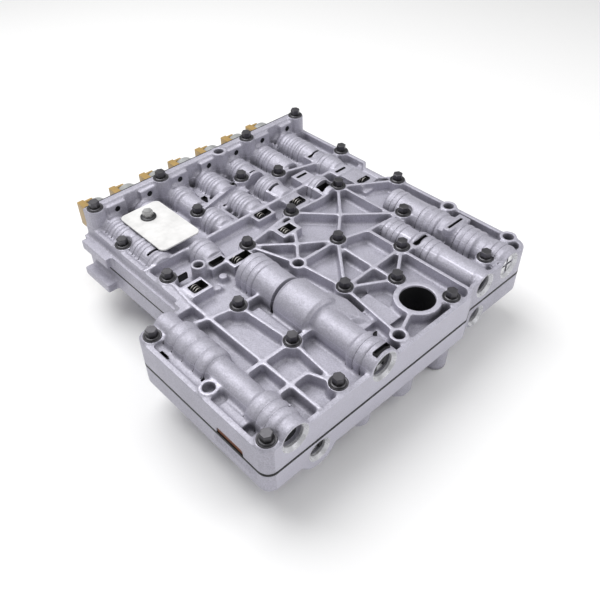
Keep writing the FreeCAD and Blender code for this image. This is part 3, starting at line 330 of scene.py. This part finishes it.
def noise(tree, vector, scale, detail=4.0, rough=0.55):
    """The value of a noise over a vector; scale is in waves to the metre."""
    node = tree.nodes.new("ShaderNodeTexNoise")
    node.inputs["Scale"].default_value = scale
    node.inputs["Detail"].default_value = detail
    node.inputs["Roughness"].default_value = rough
    tree.links.new(vector, node.inputs["Vector"])
    return node.outputs["Fac"]


def ramp(tree, value, stops):
    """A colour ramp; stops are (place, colour) pairs."""
    node = tree.nodes.new("ShaderNodeValToRGB")
    while len(node.color_ramp.elements) < len(stops):
        node.color_ramp.elements.new(0.5)
    for element, (place, colour) in zip(node.color_ramp.elements, stops):
        element.position = place
        element.color = colour
    tree.links.new(value, node.inputs["Fac"])
    return node.outputs["Color"]


def grey(level):
    """A grey of one level."""
    return (level, level, level, 1.0)


def shade(colour, factor):
    """A colour made lighter or darker."""
    return (colour[0] * factor, colour[1] * factor, colour[2] * factor, 1.0)


def math_node(tree, operation, first, second):
    """The result of a sum on two numbers or sockets."""
    node = tree.nodes.new("ShaderNodeMath")
    node.operation = operation
    for index, value in enumerate((first, second)):
        if isinstance(value, (int, float)):
            node.inputs[index].default_value = value
        else:
            tree.links.new(value, node.inputs[index])
    return node.outputs[0]


def mix_colour(tree, factor, first, second, blend="MIX"):
    """Two colours mixed; each argument is a value or a socket."""
    node = tree.nodes.new("ShaderNodeMix")
    node.data_type = "RGBA"
    node.blend_type = blend
    pairs = ((node.inputs["Factor"], factor), (node.inputs[6], first), (node.inputs[7], second))
    for socket, value in pairs:
        if isinstance(value, (int, float, tuple)):
            socket.default_value = value
        else:
            tree.links.new(value, socket)
    return node.outputs[2]


def bump(tree, shader, height, distance, strength=1.0):
    """Raise a shader's surface by a height, with a distance in metres."""
    node = tree.nodes.new("ShaderNodeBump")
    node.inputs["Distance"].default_value = distance
    node.inputs["Strength"].default_value = strength
    tree.links.new(height, node.inputs["Height"])
    tree.links.new(node.outputs["Normal"], shader.inputs["Normal"])


def near_level(tree, vector, axis, level, reach):
    """1 where a coordinate lies within reach of a level, else 0."""
    split = tree.nodes.new("ShaderNodeSeparateXYZ")
    tree.links.new(vector, split.inputs["Vector"])
    gap = math_node(tree, "ABSOLUTE", math_node(tree, "SUBTRACT", split.outputs[axis], level), 0.0)
    return math_node(tree, "LESS_THAN", gap, reach)


def cast_aluminium():
    """Die-cast aluminium: bluish grey, fine sandy grain, painted shade in hollows, brighter where machined.
    """
    material, tree, shader, place = new_material("cast_aluminium")
    colour = tuple(sizes().cast_colour)
    cloud = noise(tree, place, 45.0, 5.0, 0.6)
    body = ramp(tree, cloud, [(0.3, shade(colour, 0.86)), (0.7, shade(colour, 1.1))])
    speck = noise(tree, place, 850.0, 3.0, 0.7)
    body = mix_colour(tree, 0.5, body, ramp(tree, speck, [(0.36, shade(colour, 0.72)),
                                                          (0.64, shade(colour, 1.24))]))
    # Painted shade: the colour darkens where other faces are near, in hollows, cells and at the feet of
    # walls.
    hollow = tree.nodes.new("ShaderNodeAmbientOcclusion")
    hollow.inputs["Distance"].default_value = 0.012
    hollow.samples = 4
    painted_shade = ramp(tree, hollow.outputs["AO"], [(0.0, grey(0.04)), (0.12, grey(0.32)), (0.72, grey(1.0))])
    body = mix_colour(tree, 1.0, body, painted_shade, "MULTIPLY")
    shader.inputs["Metallic"].default_value = 0.4
    machined = near_level(tree, place, 2, SEAT_LEVEL, 0.0003)
    front = near_level(tree, place, 1, UPPER_FRONT, 0.0002)
    machined = math_node(tree, "MAXIMUM", machined, front)
    body = mix_colour(tree, machined, body, mix_colour(tree, 0.5, body, shade(colour, 1.35)))
    tree.links.new(body, shader.inputs["Base Color"])
    rough = ramp(tree, noise(tree, place, 260.0, 3.0), [(0.3, grey(0.43)), (0.7, grey(0.57))])
    rough = mix_colour(tree, machined, rough, grey(0.36))
    tree.links.new(rough, shader.inputs["Roughness"])
    grain = math_node(tree, "ADD", noise(tree, place, 900.0, 3.0, 0.65),
                      math_node(tree, "MULTIPLY", noise(tree, place, 180.0, 4.0), 1.6))
    bump(tree, shader, grain, 0.0004, 0.7)
    return material


def plain_metal(name, colour, rough, metallic=1.0, grain=600.0, depth=0.00005, shadow=0.0):
    """A metal with a fine grain; shadow is how near other faces darken it, in metres."""
    material, tree, shader, place = new_material(name)
    cloud = noise(tree, place, 120.0, 4.0)
    body = ramp(tree, cloud, [(0.3, shade(colour, 0.8)), (0.7, shade(colour, 1.15))])
    if shadow:
        # Painted shade: darken the colour where other faces are near.
        hollow = tree.nodes.new("ShaderNodeAmbientOcclusion")
        hollow.inputs["Distance"].default_value = shadow
        hollow.samples = 6
        painted_shade = ramp(tree, hollow.outputs["AO"], [(0.35, grey(0.1)), (0.98, grey(1.0))])
        body = mix_colour(tree, 1.0, body, painted_shade, "MULTIPLY")
    tree.links.new(body, shader.inputs["Base Color"])
    gloss = ramp(tree, noise(tree, place, 300.0), [(0.3, grey(rough * 0.8)), (0.7, grey(rough * 1.25))])
    tree.links.new(gloss, shader.inputs["Roughness"])
    shader.inputs["Metallic"].default_value = metallic
    bump(tree, shader, noise(tree, place, grain, 3.0), depth)
    return material


def moulded_plastic(name, colour, rough, depth=0.00006):
    """Moulded plastic with a slight orange-peel skin."""
    material, tree, shader, place = new_material(name)
    cloud = noise(tree, place, 90.0, 3.0)
    tree.links.new(ramp(tree, cloud, [(0.3, shade(colour, 0.88)), (0.7, shade(colour, 1.1))]),
                   shader.inputs["Base Color"])
    shader.inputs["Roughness"].default_value = rough
    bump(tree, shader, noise(tree, place, 420.0, 2.0), depth)
    return material


def settle(piece, body, slot, *nodes):
    """Ride on a body and stand for CAD nodes; slot is not used."""
    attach(piece, body)
    if nodes:
        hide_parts(*nodes)


def add_drum(bm, x, z, y0, y1, first, last, segments=64):
    """A closed drum or cone along +Y, given in mm: radius first at y0 and last at y1."""
    middle = Vector((x, (y0 + y1) / 2, z)) * MM
    turn = Matrix.Translation(middle) @ Matrix.Rotation(math.radians(-90.0), 4, "X")
    bmesh.ops.create_cone(bm, cap_ends=True, cap_tris=True, segments=segments, radius1=first * MM,
                          radius2=last * MM, depth=(y1 - y0) * MM, matrix=turn)


def add_ring(bm, x, z, radius, y0, y1):
    """A crowned ring round a hump: it rises, runs level and falls again, in mm."""
    crest = radius + sizes().ring_proud / MM
    slope = (y1 - y0) * 0.2
    for start, end, first, last in ((y0, y0 + slope, radius, crest), (y0 + slope, y1 - slope, crest, crest),
                                    (y1 - slope, y1, crest, radius)):
        add_drum(bm, x, z, start, end, first, last)


def add_box(bm, x0, x1, y0, y1, z0, z1):
    """A closed box between its limits in mm."""
    middle = Vector(((x0 + x1) / 2, (y0 + y1) / 2, (z0 + z1) / 2)) * MM
    reach = Matrix.Diagonal(((x1 - x0) * MM, (y1 - y0) * MM, (z1 - z0) * MM, 1.0))
    return bmesh.ops.create_cube(bm, size=1.0, matrix=Matrix.Translation(middle) @ reach)


def add_pad(bm, x0, x1, y0, y1, z0, z1, round_by):
    """A block with rounded standing edges, in mm."""
    made = add_box(bm, x0, x1, y0, y1, z0, z1)
    edges = {edge for vert in made["verts"] for edge in vert.link_edges}
    standing = [edge for edge in edges if abs(edge.verts[0].co.z - edge.verts[1].co.z) > MM]
    bmesh.ops.bevel(bm, geom=standing, offset=round_by * MM, offset_type="OFFSET", affect="EDGES",
                    segments=5, profile=0.5, material=-1)


def add_cone(bm, x, y, z0, z1, foot, top, segments=40):
    """A standing cone or post, given in mm."""
    bmesh.ops.create_cone(bm, cap_ends=True, cap_tris=True, segments=segments, radius1=foot * MM,
                          radius2=top * MM, depth=(z1 - z0) * MM,
                          matrix=Matrix.Translation(Vector((x, y, (z0 + z1) / 2)) * MM))


def add_turned(bm, place, outline, closed=False, steps=64, axis=(0.0, 1.0, 0.0)):
    """A body turned round an axis through a place; the outline is (along, radius) pairs, in mm."""
    centre = Vector(place) * MM
    own = bmesh.new()
    made = [own.verts.new(centre + (Vector(axis) * along + Vector((radius, 0.0, 0.0))) * MM)
            for along, radius in outline]
    pairs = list(zip(made, made[1:]))
    if closed:
        pairs.append((made[-1], made[0]))
    edges = [own.edges.new(pair) for pair in pairs]
    bmesh.ops.spin(own, geom=made + edges, cent=centre, axis=axis, angle=math.tau, steps=steps,
                   use_merge=True)
    bmesh.ops.remove_doubles(own, verts=own.verts, dist=1e-6)
    turned = mesh_of(own, "turned")
    bm.from_mesh(turned)
    bpy.data.meshes.remove(turned)


def add_spring(bm, x, y0, y1, z, radius=3.9, wire=0.45, pitch=2.7):
    """An open coil spring along +Y, given in mm."""
    start = Vector((x, y0, z)) * MM
    section = bmesh.ops.create_circle(bm, cap_ends=False, segments=8, radius=wire * MM,
                                      matrix=Matrix.Translation(start + Vector((radius * MM, 0.0, 0.0))))
    ring = section["verts"]
    edges = list({edge for vert in ring for edge in vert.link_edges})
    turns = (y1 - y0) / pitch
    steps = int(turns * 20)
    bmesh.ops.spin(bm, geom=ring + edges, cent=start, axis=(0.0, 1.0, 0.0), angle=math.tau * turns,
                   steps=steps, dvec=(0.0, (y1 - y0) * MM / steps, 0.0))
    bmesh.ops.holes_fill(bm, edges=[edge for edge in bm.edges if edge.is_boundary], sides=0)


def add_well(bm, x0, x1, y0, y1, floor, deep):
    """An open-topped tray, in mm: a box whose top is inset and sunk."""
    made = add_box(bm, x0 + 0.05, x1 - 0.05, y0 + 0.05, y1 - 0.05, floor - 0.3, floor + deep)
    top = max({face for vert in made["verts"] for face in vert.link_faces},
              key=lambda face: face.calc_center_median().z)
    bmesh.ops.inset_individual(bm, faces=[top], thickness=0.2 * MM)
    sunk = bmesh.ops.extrude_discrete_faces(bm, faces=[top])["faces"][0]
    bmesh.ops.translate(bm, verts=sunk.verts, vec=(0.0, 0.0, -(deep - 0.3) * MM))


def add_socket(bm, x0, x1, y0, y1, z0, z1):
    """A moulded box with soft edges and a sunk socket in its back, in mm."""
    made = add_box(bm, x0, x1, y0, y1, z0, z1)
    edges = list({edge for vert in made["verts"] for edge in vert.link_edges})
    bevelled = bmesh.ops.bevel(bm, geom=edges, offset=0.7 * MM, offset_type="OFFSET", affect="EDGES",
                               segments=2, profile=0.5, material=-1)
    back = max({face for vert in bevelled["verts"] for face in vert.link_faces},
               key=lambda face: face.calc_center_median().y)
    bmesh.ops.inset_individual(bm, faces=[back], thickness=1.0 * MM)
    sunk = bmesh.ops.extrude_discrete_faces(bm, faces=[back])["faces"][0]
    bmesh.ops.translate(bm, verts=sunk.verts, vec=(0.0, -1.6 * MM, 0.0))


def finish_mesh(bm, name):
    """Merge, turn the faces outwards and make the mesh."""
    bmesh.ops.remove_doubles(bm, verts=bm.verts, dist=1e-6)
    bmesh.ops.recalc_face_normals(bm, faces=bm.faces)
    return mesh_of(bm, name)


def upper_forms(bm):
    """Cast forms that the upper casting's solid leaves to its skin: rings, nubs, pads and the web."""
    for x, z, radius, spans in RING_SETS:
        for y0, y1 in spans:
            add_ring(bm, x, z, radius, y0, y1)
    for place, spans in REAR_RINGS:
        for y0, y1 in spans:
            add_ring(bm, REAR_ROW_X + REAR_ROW_PITCH * place, REAR_ROW_Z, REAR_RADIUS, y0, y1)
    for x, y, foot, top, level in NUBS:
        add_cone(bm, x, y, FLOOR_INSIDE, level, foot, top)
    for x0, x1, y0, y1, top, round_by in PADS:
        add_pad(bm, x0, x1, y0, y1, FLOOR_INSIDE, top, round_by)
    x, z, y0, y1, radius = HUMP_FILLING
    add_drum(bm, x, z, y0, y1, radius, radius)
    corners = [bm.verts.new(Vector(corner) * MM) for corner in MAIN_WEB]
    bmesh.ops.convex_hull(bm, input=corners)


def ring_edges(spans):
    """Where the fine grooves beside and between rings run, in mm along Y."""
    ordered = sorted(spans)
    edges = []
    for y0, y1 in ordered:
        if edges and y0 - edges[-1] < 2.0:
            edges[-1] = (edges[-1] + y0) / 2
        else:
            edges.append(y0)
        edges.append(y1)
    return edges


def mouth_cuts(bm, upper):
    """Room for the bright rings in the mouths of the bores of the upper or the lower casting."""
    for x, z, face, radius in MOUTHS:
        if (z > PARTING_LEVEL) == upper:
            add_drum(bm, x, z, face - 0.6, face + 2.5, radius + 2.95, radius + 0.2)


def lower_cuts(bm):
    """Cuts of the lower casting's skin."""
    mouth_cuts(bm, False)


def upper_cuts(bm):
    """Windows, slots and small holes, cut sharp after the fillets are made."""
    for x0, x1, y0, y1, top, deep in ALL_WINDOWS:
        add_box(bm, x0, x1, y0, y1, top - deep, ABOVE_ALL)
    for x, y, z0, z1, radius in BOSS_HOLES:
        add_cone(bm, x, y, z0, z1, radius, radius)
    mouth_cuts(bm, True)
    rear = [(REAR_ROW_X + REAR_ROW_PITCH * place, REAR_ROW_Z, REAR_RADIUS, spans)
            for place, spans in REAR_RINGS]
    for x, z, radius, spans in list(RING_SETS) + rear:
        outside = radius + sizes().ring_proud / MM + 0.4
        notch = ((-0.55, outside), (0.0, radius - 0.1), (0.55, outside))
        for y in ring_edges(spans):
            add_turned(bm, (x, y, z), notch, closed=True, steps=48)
    for x, z, section in GROOVES:
        add_turned(bm, (x, 0.0, z), section, closed=True)


def apply_modifiers(piece, name):
    """Apply a piece's modifiers and name the mesh that they leave."""
    graph = bpy.context.evaluated_depsgraph_get()
    mesh = bpy.data.meshes.new_from_object(piece.evaluated_get(graph))
    mesh.name = name
    piece.modifiers.clear()
    old = piece.data
    piece.data = mesh
    bpy.data.meshes.remove(old)


def add_voxels(piece, voxel):
    """Remesh a piece at a voxel size."""
    remesh = piece.modifiers.new("voxels", "REMESH")
    remesh.mode = "VOXEL"
    remesh.voxel_size = voxel


def add_smooth(piece, rounds):
    """Smooth away the steps that voxels leave."""
    soften = piece.modifiers.new("soften", "SMOOTH")
    soften.factor = 0.5
    soften.iterations = rounds


def add_swell(piece, reach):
    """Move a piece's surface outwards, or inwards where reach is negative."""
    swell = piece.modifiers.new("swell", "DISPLACE")
    swell.direction = "NORMAL"
    swell.mid_level = 0.0
    swell.strength = reach


def cast_skin(name, node, voxel, material, forms=None, cuts=None):
    """A casting's skin: its CAD solid with extra cast forms, swollen and shrunk again for its fillets."""
    bm = bmesh.new()
    bm.from_mesh(frame["nodes"][node].data)
    bmesh.ops.remove_doubles(bm, verts=bm.verts, dist=1e-6)
    if forms:
        forms(bm)
    skin = link(name, mesh_of(bm, name + "_rough"), material)
    add_voxels(skin, voxel)
    add_smooth(skin, 1)
    add_swell(skin, sizes().fillet)
    add_voxels(skin, voxel)
    add_swell(skin, -sizes().fillet)
    add_smooth(skin, 2)
    apply_modifiers(skin, name + "_dense")
    triangles = sum(len(face.vertices) - 2 for face in skin.data.polygons)
    thin = skin.modifiers.new("thin", "DECIMATE")
    thin.ratio = min(1.0, sizes().skin_faces / triangles)
    apply_modifiers(skin, name + "_thin")
    if cuts:
        bm = bmesh.new()
        cuts(bm)
        cutter = link(name + "_cutter", mesh_of(bm, name + "_cutter"), material)
        minus = skin.modifiers.new("cuts", "BOOLEAN")
        minus.operation = "DIFFERENCE"
        minus.solver = "MANIFOLD"
        minus.object = cutter
        apply_modifiers(skin, name + "_cut")
        bpy.data.objects.remove(cutter)
    mesh = skin.data
    mesh.materials.clear()
    mesh.materials.append(material)
    mesh.shade_smooth()
    mesh.set_sharp_from_angle(angle=math.radians(50))
    return skin


class VALVEBODY_OT_castings(bpy.types.Operator):
    """Make the skins of the two castings."""
    bl_idname = "valvebody.castings"
    bl_label = "Castings"

    def execute(self, context):
        metal = cast_aluminium()
        skin = cast_skin("upper_skin", "upper_casting", sizes().cast_voxel, metal, upper_forms, upper_cuts)
        settle(skin, HOUSING, "casting", "upper_casting")
        skin = cast_skin("lower_skin", "lower_casting", sizes().lower_voxel, metal, None, lower_cuts)
        settle(skin, HOUSING, "casting", "lower_casting")
        return {"FINISHED"}


def hex_bolt(bm, seat, shank_foot):
    """A hex-flange bolt standing on a seat: dished flange, bevelled hexagon and its shank."""
    across = sizes().hex_across / MM
    flange = sizes().flange_radius / MM
    outline = ((0.0, 0.0), (0.0, flange), (0.7, flange), (1.0, flange * 0.96), (1.0, flange * 0.90),
               (0.85, flange * 0.78), (0.9, across * 0.68), (1.3, across * 0.60), (1.35, across * 0.55),
               (1.35, 0.0))
    add_turned(bm, seat / MM, outline, steps=48, axis=(0.0, 0.0, 1.0))
    corner = sizes().hex_across / 2 / math.cos(math.radians(30.0))
    middle = seat + Vector((0, 0, 4.05 * MM))
    head = bmesh.ops.create_cone(bm, cap_ends=True, segments=6, radius1=corner, radius2=corner,
                                 depth=5.7 * MM, matrix=Matrix.Translation(middle))
    top = [vert for vert in head["verts"] if vert.co.z > middle.z]
    rim = [edge for edge in {e for v in top for e in v.link_edges} if all(v in top for v in edge.verts)]
    bmesh.ops.bevel(bm, geom=rim, offset=0.4 * MM, offset_type="OFFSET", affect="EDGES", segments=1,
                    profile=0.5, material=-1)
    depth = seat.z - shank_foot
    shank = SHANK_RADIUS * MM
    bmesh.ops.create_cone(bm, cap_ends=True, segments=24, radius1=shank, radius2=shank, depth=depth,
                          matrix=Matrix.Translation(seat - Vector((0, 0, depth / 2 - 0.2 * MM))))


class VALVEBODY_OT_bolts(bpy.types.Operator):
    """Make the hex-flange bolts of the castings and of the back wall."""
    bl_idname = "valvebody.bolts"
    bl_label = "Bolts"

    def execute(self, context):
        metal = plain_metal("black_phosphate", tuple(sizes().bolt_colour), 0.36, 0.85, shadow=0.006)
        for node in ("body_bolts", "wall_bolts"):
            bm = bmesh.new()
            for low, high in islands(node):
                seat = Vector(((low.x + high.x) / 2, (low.y + high.y) / 2, high.z - BOLT_HEAD * MM))
                hex_bolt(bm, seat, low.z)
            piece = link(node + "_made", finish_mesh(bm, node + "_made"), metal, 35)
            settle(piece, HOUSING, "black_bolt", node)
        return {"FINISHED"}


class VALVEBODY_OT_plate(bpy.types.Operator):
    """Make the separator plate whose near-black edge shows between the castings, partly its own colour and
    partly a painted shadow in the seam.
    """
    bl_idname = "valvebody.plate"
    bl_label = "Separator plate"

    def execute(self, context):
        # Painted shadow: the plate's near-black edge stands partly for the shade in the seam.
        dark = plain_metal("plate_black_and_seam_shade", PLATE_BLACK_AND_SEAM_SHADE, 0.5, 0.4)
        bm = bmesh.new()
        bm.from_mesh(frame["nodes"]["separator_plate"].data)
        piece = link("plate_made", finish_mesh(bm, "plate_made"), dark)
        add_swell(piece, PLATE_SWELL * MM)
        apply_modifiers(piece, "plate_made")
        piece.data.materials.clear()
        piece.data.materials.append(dark)
        settle(piece, HOUSING, "plate_steel", "separator_plate")
        return {"FINISHED"}


class VALVEBODY_OT_openings(bpy.types.Operator):
    """Make the springs in the windows, the black wells in the windows and the black liner in the supply
    port, which paint the shade inside them, and the bright mouths of the bores.
    """
    bl_idname = "valvebody.openings"
    bl_label = "Openings"

    def execute(self, context):
        # Painted shade: black trays in the windows and a black tube in the supply port stand for the shade
        # inside them.
        black = moulded_plastic("well_painted_shade", WELL_PAINTED_SHADE, 0.6)
        bm = bmesh.new()
        for x0, x1, y0, y1, top, deep in ALL_WINDOWS:
            add_well(bm, x0, x1, y0, y1, top - deep, deep - WELL_SUNK)
        piece = link("wells", finish_mesh(bm, "wells"), black)
        settle(piece, HOUSING, "black_bolt")
        steel = plain_metal("spring_steel", WINDOW_SPRING, 0.35, 0.9)
        bm = bmesh.new()
        for x, y0, y1, z in SPRINGS:
            add_spring(bm, x, y0, y1, z)
        piece = link("window_springs", finish_mesh(bm, "window_springs"), steel, 60)
        settle(piece, HOUSING, "spring_steel")
        bm = bmesh.new()
        top, foot = PORT_LINER
        inside = PORT_RADIUS - 0.2
        outside = PORT_RADIUS + 0.5
        section = ((top, inside), (foot, inside), (foot, outside), (top - 0.4, outside))
        add_turned(bm, (0.0, 0.0, 0.0), section, closed=True, axis=(0.0, 0.0, 1.0))
        piece = link("port_liner", finish_mesh(bm, "port_liner"), black, 30)
        settle(piece, HOUSING, "black_bolt")
        bright = plain_metal("machined_alloy", MACHINED_ALLOY, 0.28, 0.3)
        bm = bmesh.new()
        for x, z, face, radius in MOUTHS:
            add_turned(bm, (x, face, z), ((0.03, radius + 2.5), (0.03, radius + 2.2), (2.4, radius - 0.15),
                                          (4.5, radius - 0.15), (4.5, radius + 0.6), (1.0, radius + 2.5)),
                       closed=True)
        piece = link("bore_mouths", finish_mesh(bm, "bore_mouths"), bright, 30)
        settle(piece, HOUSING, "plug_alloy")
        return {"FINISHED"}


class VALVEBODY_OT_return_springs(bpy.types.Operator):
    """Make each valve's return spring: a coil in place of the CAD spring nearest to the valve."""
    bl_idname = "valvebody.return_springs"
    bl_label = "Return springs"

    def execute(self, context):
        steel = plain_metal("return_spring_wire", RETURN_SPRING, 0.25)
        springs = islands("valve_springs")
        for joint in frame["record"]["behaviour"]["joints"]:
            valve = joint["child"].removesuffix("_body")
            valve_low, valve_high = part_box(valve)
            aim = (valve_low + valve_high) / 2
            low, high = min(springs, key=lambda box: ((box[0] + box[1]) / 2 - aim).xz.length)
            middle = (low + high) / 2
            radius = (high.x - low.x) / 2 / MM - RETURN_WIRE
            bm = bmesh.new()
            start, end = low.y / MM + RETURN_WIRE, high.y / MM - RETURN_WIRE
            add_spring(bm, middle.x / MM, start, end, middle.z / MM, radius, RETURN_WIRE, RETURN_PITCH)
            piece = link(valve + "_spring", finish_mesh(bm, valve + "_spring"), steel, 60)
            settle(piece, HOUSING, "spring_steel", "valve_springs")
            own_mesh(piece)
        return {"FINISHED"}


class VALVEBODY_OT_solenoids(bpy.types.Operator):
    """Make the solenoid cans and their amber connectors."""
    bl_idname = "valvebody.solenoids"
    bl_label = "Solenoids"

    def execute(self, context):
        zinc = plain_metal("zinc_plate", ZINC, 0.4, 0.5)
        amber = moulded_plastic("amber_plastic", tuple(sizes().amber_colour), 0.36)
        cans = bmesh.new()
        boxes = bmesh.new()
        for place in range(SOLENOID_COUNT):
            x = SOLENOID_X + SOLENOID_PITCH * place
            add_turned(cans, (x, 0.0, SOLENOID_Z), CAN_OUTLINE, steps=48)
            for x0, x1, y0, y1, z0, z1 in CONNECTOR_BOXES:
                add_socket(boxes, x + x0, x + x1, y0, y1, z0, z1)
        piece = link("solenoids_made", finish_mesh(cans, "solenoids_made"), zinc, 30)
        settle(piece, HOUSING, "bright_steel", "solenoids")
        piece = link("connectors_made", finish_mesh(boxes, "connectors_made"), amber, 35)
        settle(piece, HOUSING, "amber", "solenoid_connectors")
        return {"FINISHED"}


class VALVEBODY_OT_tag(bpy.types.Operator):
    """Make the bolt of the tag: a dark washer and a light grey hexagon, whose lightness is a painted
    highlight.
    """
    bl_idname = "valvebody.tag"
    bl_label = "Tag bolt"

    def execute(self, context):
        dark = plain_metal("black_washer", BLACK_WASHER, 0.4, 0.8)
        # Painted highlight: the hexagon gets a lighter copy of the bolt's steel than its washer.
        painted_highlight = plain_metal("hexagon_painted_highlight", HEXAGON_PAINTED_HIGHLIGHT, 0.36, 0.8)
        low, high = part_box("tag_bolt")
        middle = (low + high) / 2 / MM
        seat = high.z / MM - BOLT_HEAD
        bm = bmesh.new()
        add_cone(bm, middle.x, middle.y, seat, seat + 0.9, 6.9, 6.9, 48)
        add_cone(bm, middle.x, middle.y, seat + 0.8, seat + 1.7, 6.6, 4.9, 48)
        add_cone(bm, middle.x, middle.y, low.z / MM, seat + 0.2, 2.9, 2.9, 24)
        piece = link("tag_washer", finish_mesh(bm, "tag_washer"), dark, 30)
        settle(piece, HOUSING, "black_bolt", "tag_bolt")
        bm = bmesh.new()
        add_cone(bm, middle.x, middle.y, seat + 1.5, seat + 6.2, 4.6, 4.6, 6)
        add_cone(bm, middle.x, middle.y, seat + 6.1, seat + 6.9, 4.4, 3.5, 6)
        piece = link("tag_hexagon", finish_mesh(bm, "tag_hexagon"), painted_highlight, 30)
        settle(piece, HOUSING, "bright_steel")
        return {"FINISHED"}


class VALVEBODY_OT_finishes(bpy.types.Operator):
    """Give the CAD pieces that keep their own shape their finish."""
    bl_idname = "valvebody.finishes"
    bl_label = "Finishes"

    def execute(self, context):
        amber = moulded_plastic("screen_plastic", SCREEN_AMBER, 0.5)
        # Painted shade: the solenoid retainer is near black so that its edge behind the wall draws the
        # shadow there; the plug clips share this finish.
        dark = plain_metal("clip_black_and_retainer_shade", CLIP_BLACK_AND_RETAINER_SHADE, 0.5, 0.6)
        white = moulded_plastic("white_label", LABEL_WHITE, 0.5, 0.00003)
        turned = plain_metal("turned_alloy", TURNED_ALLOY, 0.28, 0.8, shadow=0.004)
        black = plain_metal("black_screw", SCREW_BLACK, 0.4, 0.75)
        finishes = {
            "side_screen": amber, "tag": white, "solenoid_retainer": dark, "retainer_screws": black,
            "bore_plugs": turned, "plug_clips": dark,
        }
        for node in frame["nodes"]:
            if node.startswith("valve_") and node != "valve_springs":
                finishes[node] = turned
        for node, material in finishes.items():
            mesh = frame["nodes"][node].data
            mesh.materials.clear()
            mesh.materials.append(material)
        return {"FINISHED"}


def place_camera():
    """Stand the camera where the photograph was taken from."""
    ahead = Vector((math.sin(CAMERA_AZIMUTH) * math.cos(CAMERA_PITCH),
                    math.cos(CAMERA_AZIMUTH) * math.cos(CAMERA_PITCH), -math.sin(CAMERA_PITCH)))
    level = Vector((math.cos(CAMERA_AZIMUTH), -math.sin(CAMERA_AZIMUTH), 0.0))
    upright = level.cross(ahead)
    right = level * math.cos(CAMERA_ROLL) + upright * math.sin(CAMERA_ROLL)
    up = upright * math.cos(CAMERA_ROLL) - level * math.sin(CAMERA_ROLL)
    data = bpy.data.cameras.new("camera")
    data.lens = LENS_MM
    data.sensor_width = SENSOR_MM
    data.clip_start = 0.01
    camera = bpy.data.objects.new("camera", data)
    turn = Matrix((right, up, -ahead)).transposed().to_4x4()
    camera.matrix_world = Matrix.Translation(CAMERA_PLACE) @ turn
    bpy.context.scene.collection.objects.link(camera)
    bpy.context.scene.camera = camera


def add_lamp(name, place, size, power):
    """A square soft lamp that looks at the lamps' target."""
    data = bpy.data.lights.new(name, "AREA")
    data.size = size
    data.energy = power
    lamp = bpy.data.objects.new(name, data)
    aim = (Vector(LAMP_TARGET) - Vector(place)).to_track_quat("-Z", "Y")
    lamp.matrix_world = Matrix.Translation(place) @ aim.to_matrix().to_4x4()
    bpy.context.scene.collection.objects.link(lamp)


def white_world():
    """White for the camera, softer on the object itself."""
    world = bpy.data.worlds.new("studio")
    bpy.context.scene.world = world
    world.use_nodes = True
    tree = world.node_tree
    tree.nodes.clear()
    output = tree.nodes.new("ShaderNodeOutputWorld")
    seen = tree.nodes.new("ShaderNodeBackground")
    seen.inputs["Strength"].default_value = WORLD_SEEN
    lit = tree.nodes.new("ShaderNodeBackground")
    lit.inputs["Strength"].default_value = WORLD_LIT
    rays = tree.nodes.new("ShaderNodeLightPath")
    mix = tree.nodes.new("ShaderNodeMixShader")
    tree.links.new(rays.outputs["Is Camera Ray"], mix.inputs["Fac"])
    tree.links.new(lit.outputs[0], mix.inputs[1])
    tree.links.new(seen.outputs[0], mix.inputs[2])
    tree.links.new(mix.outputs[0], output.inputs["Surface"])


class VALVEBODY_OT_stage(bpy.types.Operator):
    """Set the pale floor, the lamps, the white surround and the camera."""
    bl_idname = "valvebody.stage"
    bl_label = "Stage"

    def execute(self, context):
        bm = bmesh.new()
        bmesh.ops.create_grid(bm, x_segments=1, y_segments=1, size=6.0,
                              matrix=Matrix.Translation((0.0, 0.1, CAD_BOX[0][2])))
        material, tree, shader, place = new_material("pale_floor")
        shader.inputs["Base Color"].default_value = PALE_FLOOR
        shader.inputs["Roughness"].default_value = 0.6
        shader.inputs["Specular IOR Level"].default_value = 0.2
        floor = link("floor", mesh_of(bm, "floor"), material)
        for lamp in LAMPS:
            add_lamp(*lamp)
        white_world()
        place_camera()
        bpy.context.scene.view_settings.view_transform = "Standard"
        return {"FINISHED"}


class VALVEBODY_PT_panel(bpy.types.Panel):
    """Lists the pieces in the sidebar."""
    bl_label = "Valve body"
    bl_space_type = "VIEW_3D"
    bl_region_type = "UI"
    bl_category = "Valve Body"

    def draw(self, context):
        for operator in OPERATORS:
            self.layout.operator(operator.bl_idname)
        for name in ValveBodySizes.__annotations__:
            self.layout.prop(sizes(), name)


OPERATORS = (VALVEBODY_OT_castings, VALVEBODY_OT_bolts, VALVEBODY_OT_plate, VALVEBODY_OT_openings,
             VALVEBODY_OT_return_springs, VALVEBODY_OT_solenoids, VALVEBODY_OT_tag, VALVEBODY_OT_finishes,
             VALVEBODY_OT_stage)
CLASSES = (ValveBodySizes,) + OPERATORS + (VALVEBODY_PT_panel,)


def register():
    """Register the classes and give the scene its sizes."""
    for item in CLASSES:
        bpy.utils.register_class(item)
    bpy.types.Scene.valve_body_sizes = bpy.props.PointerProperty(type=ValveBodySizes)


def unregister():
    """Take the sizes and the classes away again."""
    del bpy.types.Scene.valve_body_sizes
    for item in reversed(CLASSES):
        bpy.utils.unregister_class(item)


def main():
    """Make every piece in order."""
    register()
    bpy.ops.valvebody.castings()
    bpy.ops.valvebody.bolts()
    bpy.ops.valvebody.plate()
    bpy.ops.valvebody.openings()
    bpy.ops.valvebody.return_springs()
    bpy.ops.valvebody.solenoids()
    bpy.ops.valvebody.tag()
    bpy.ops.valvebody.finishes()
    bpy.ops.valvebody.stage()


if __name__ == "__main__":
    main()
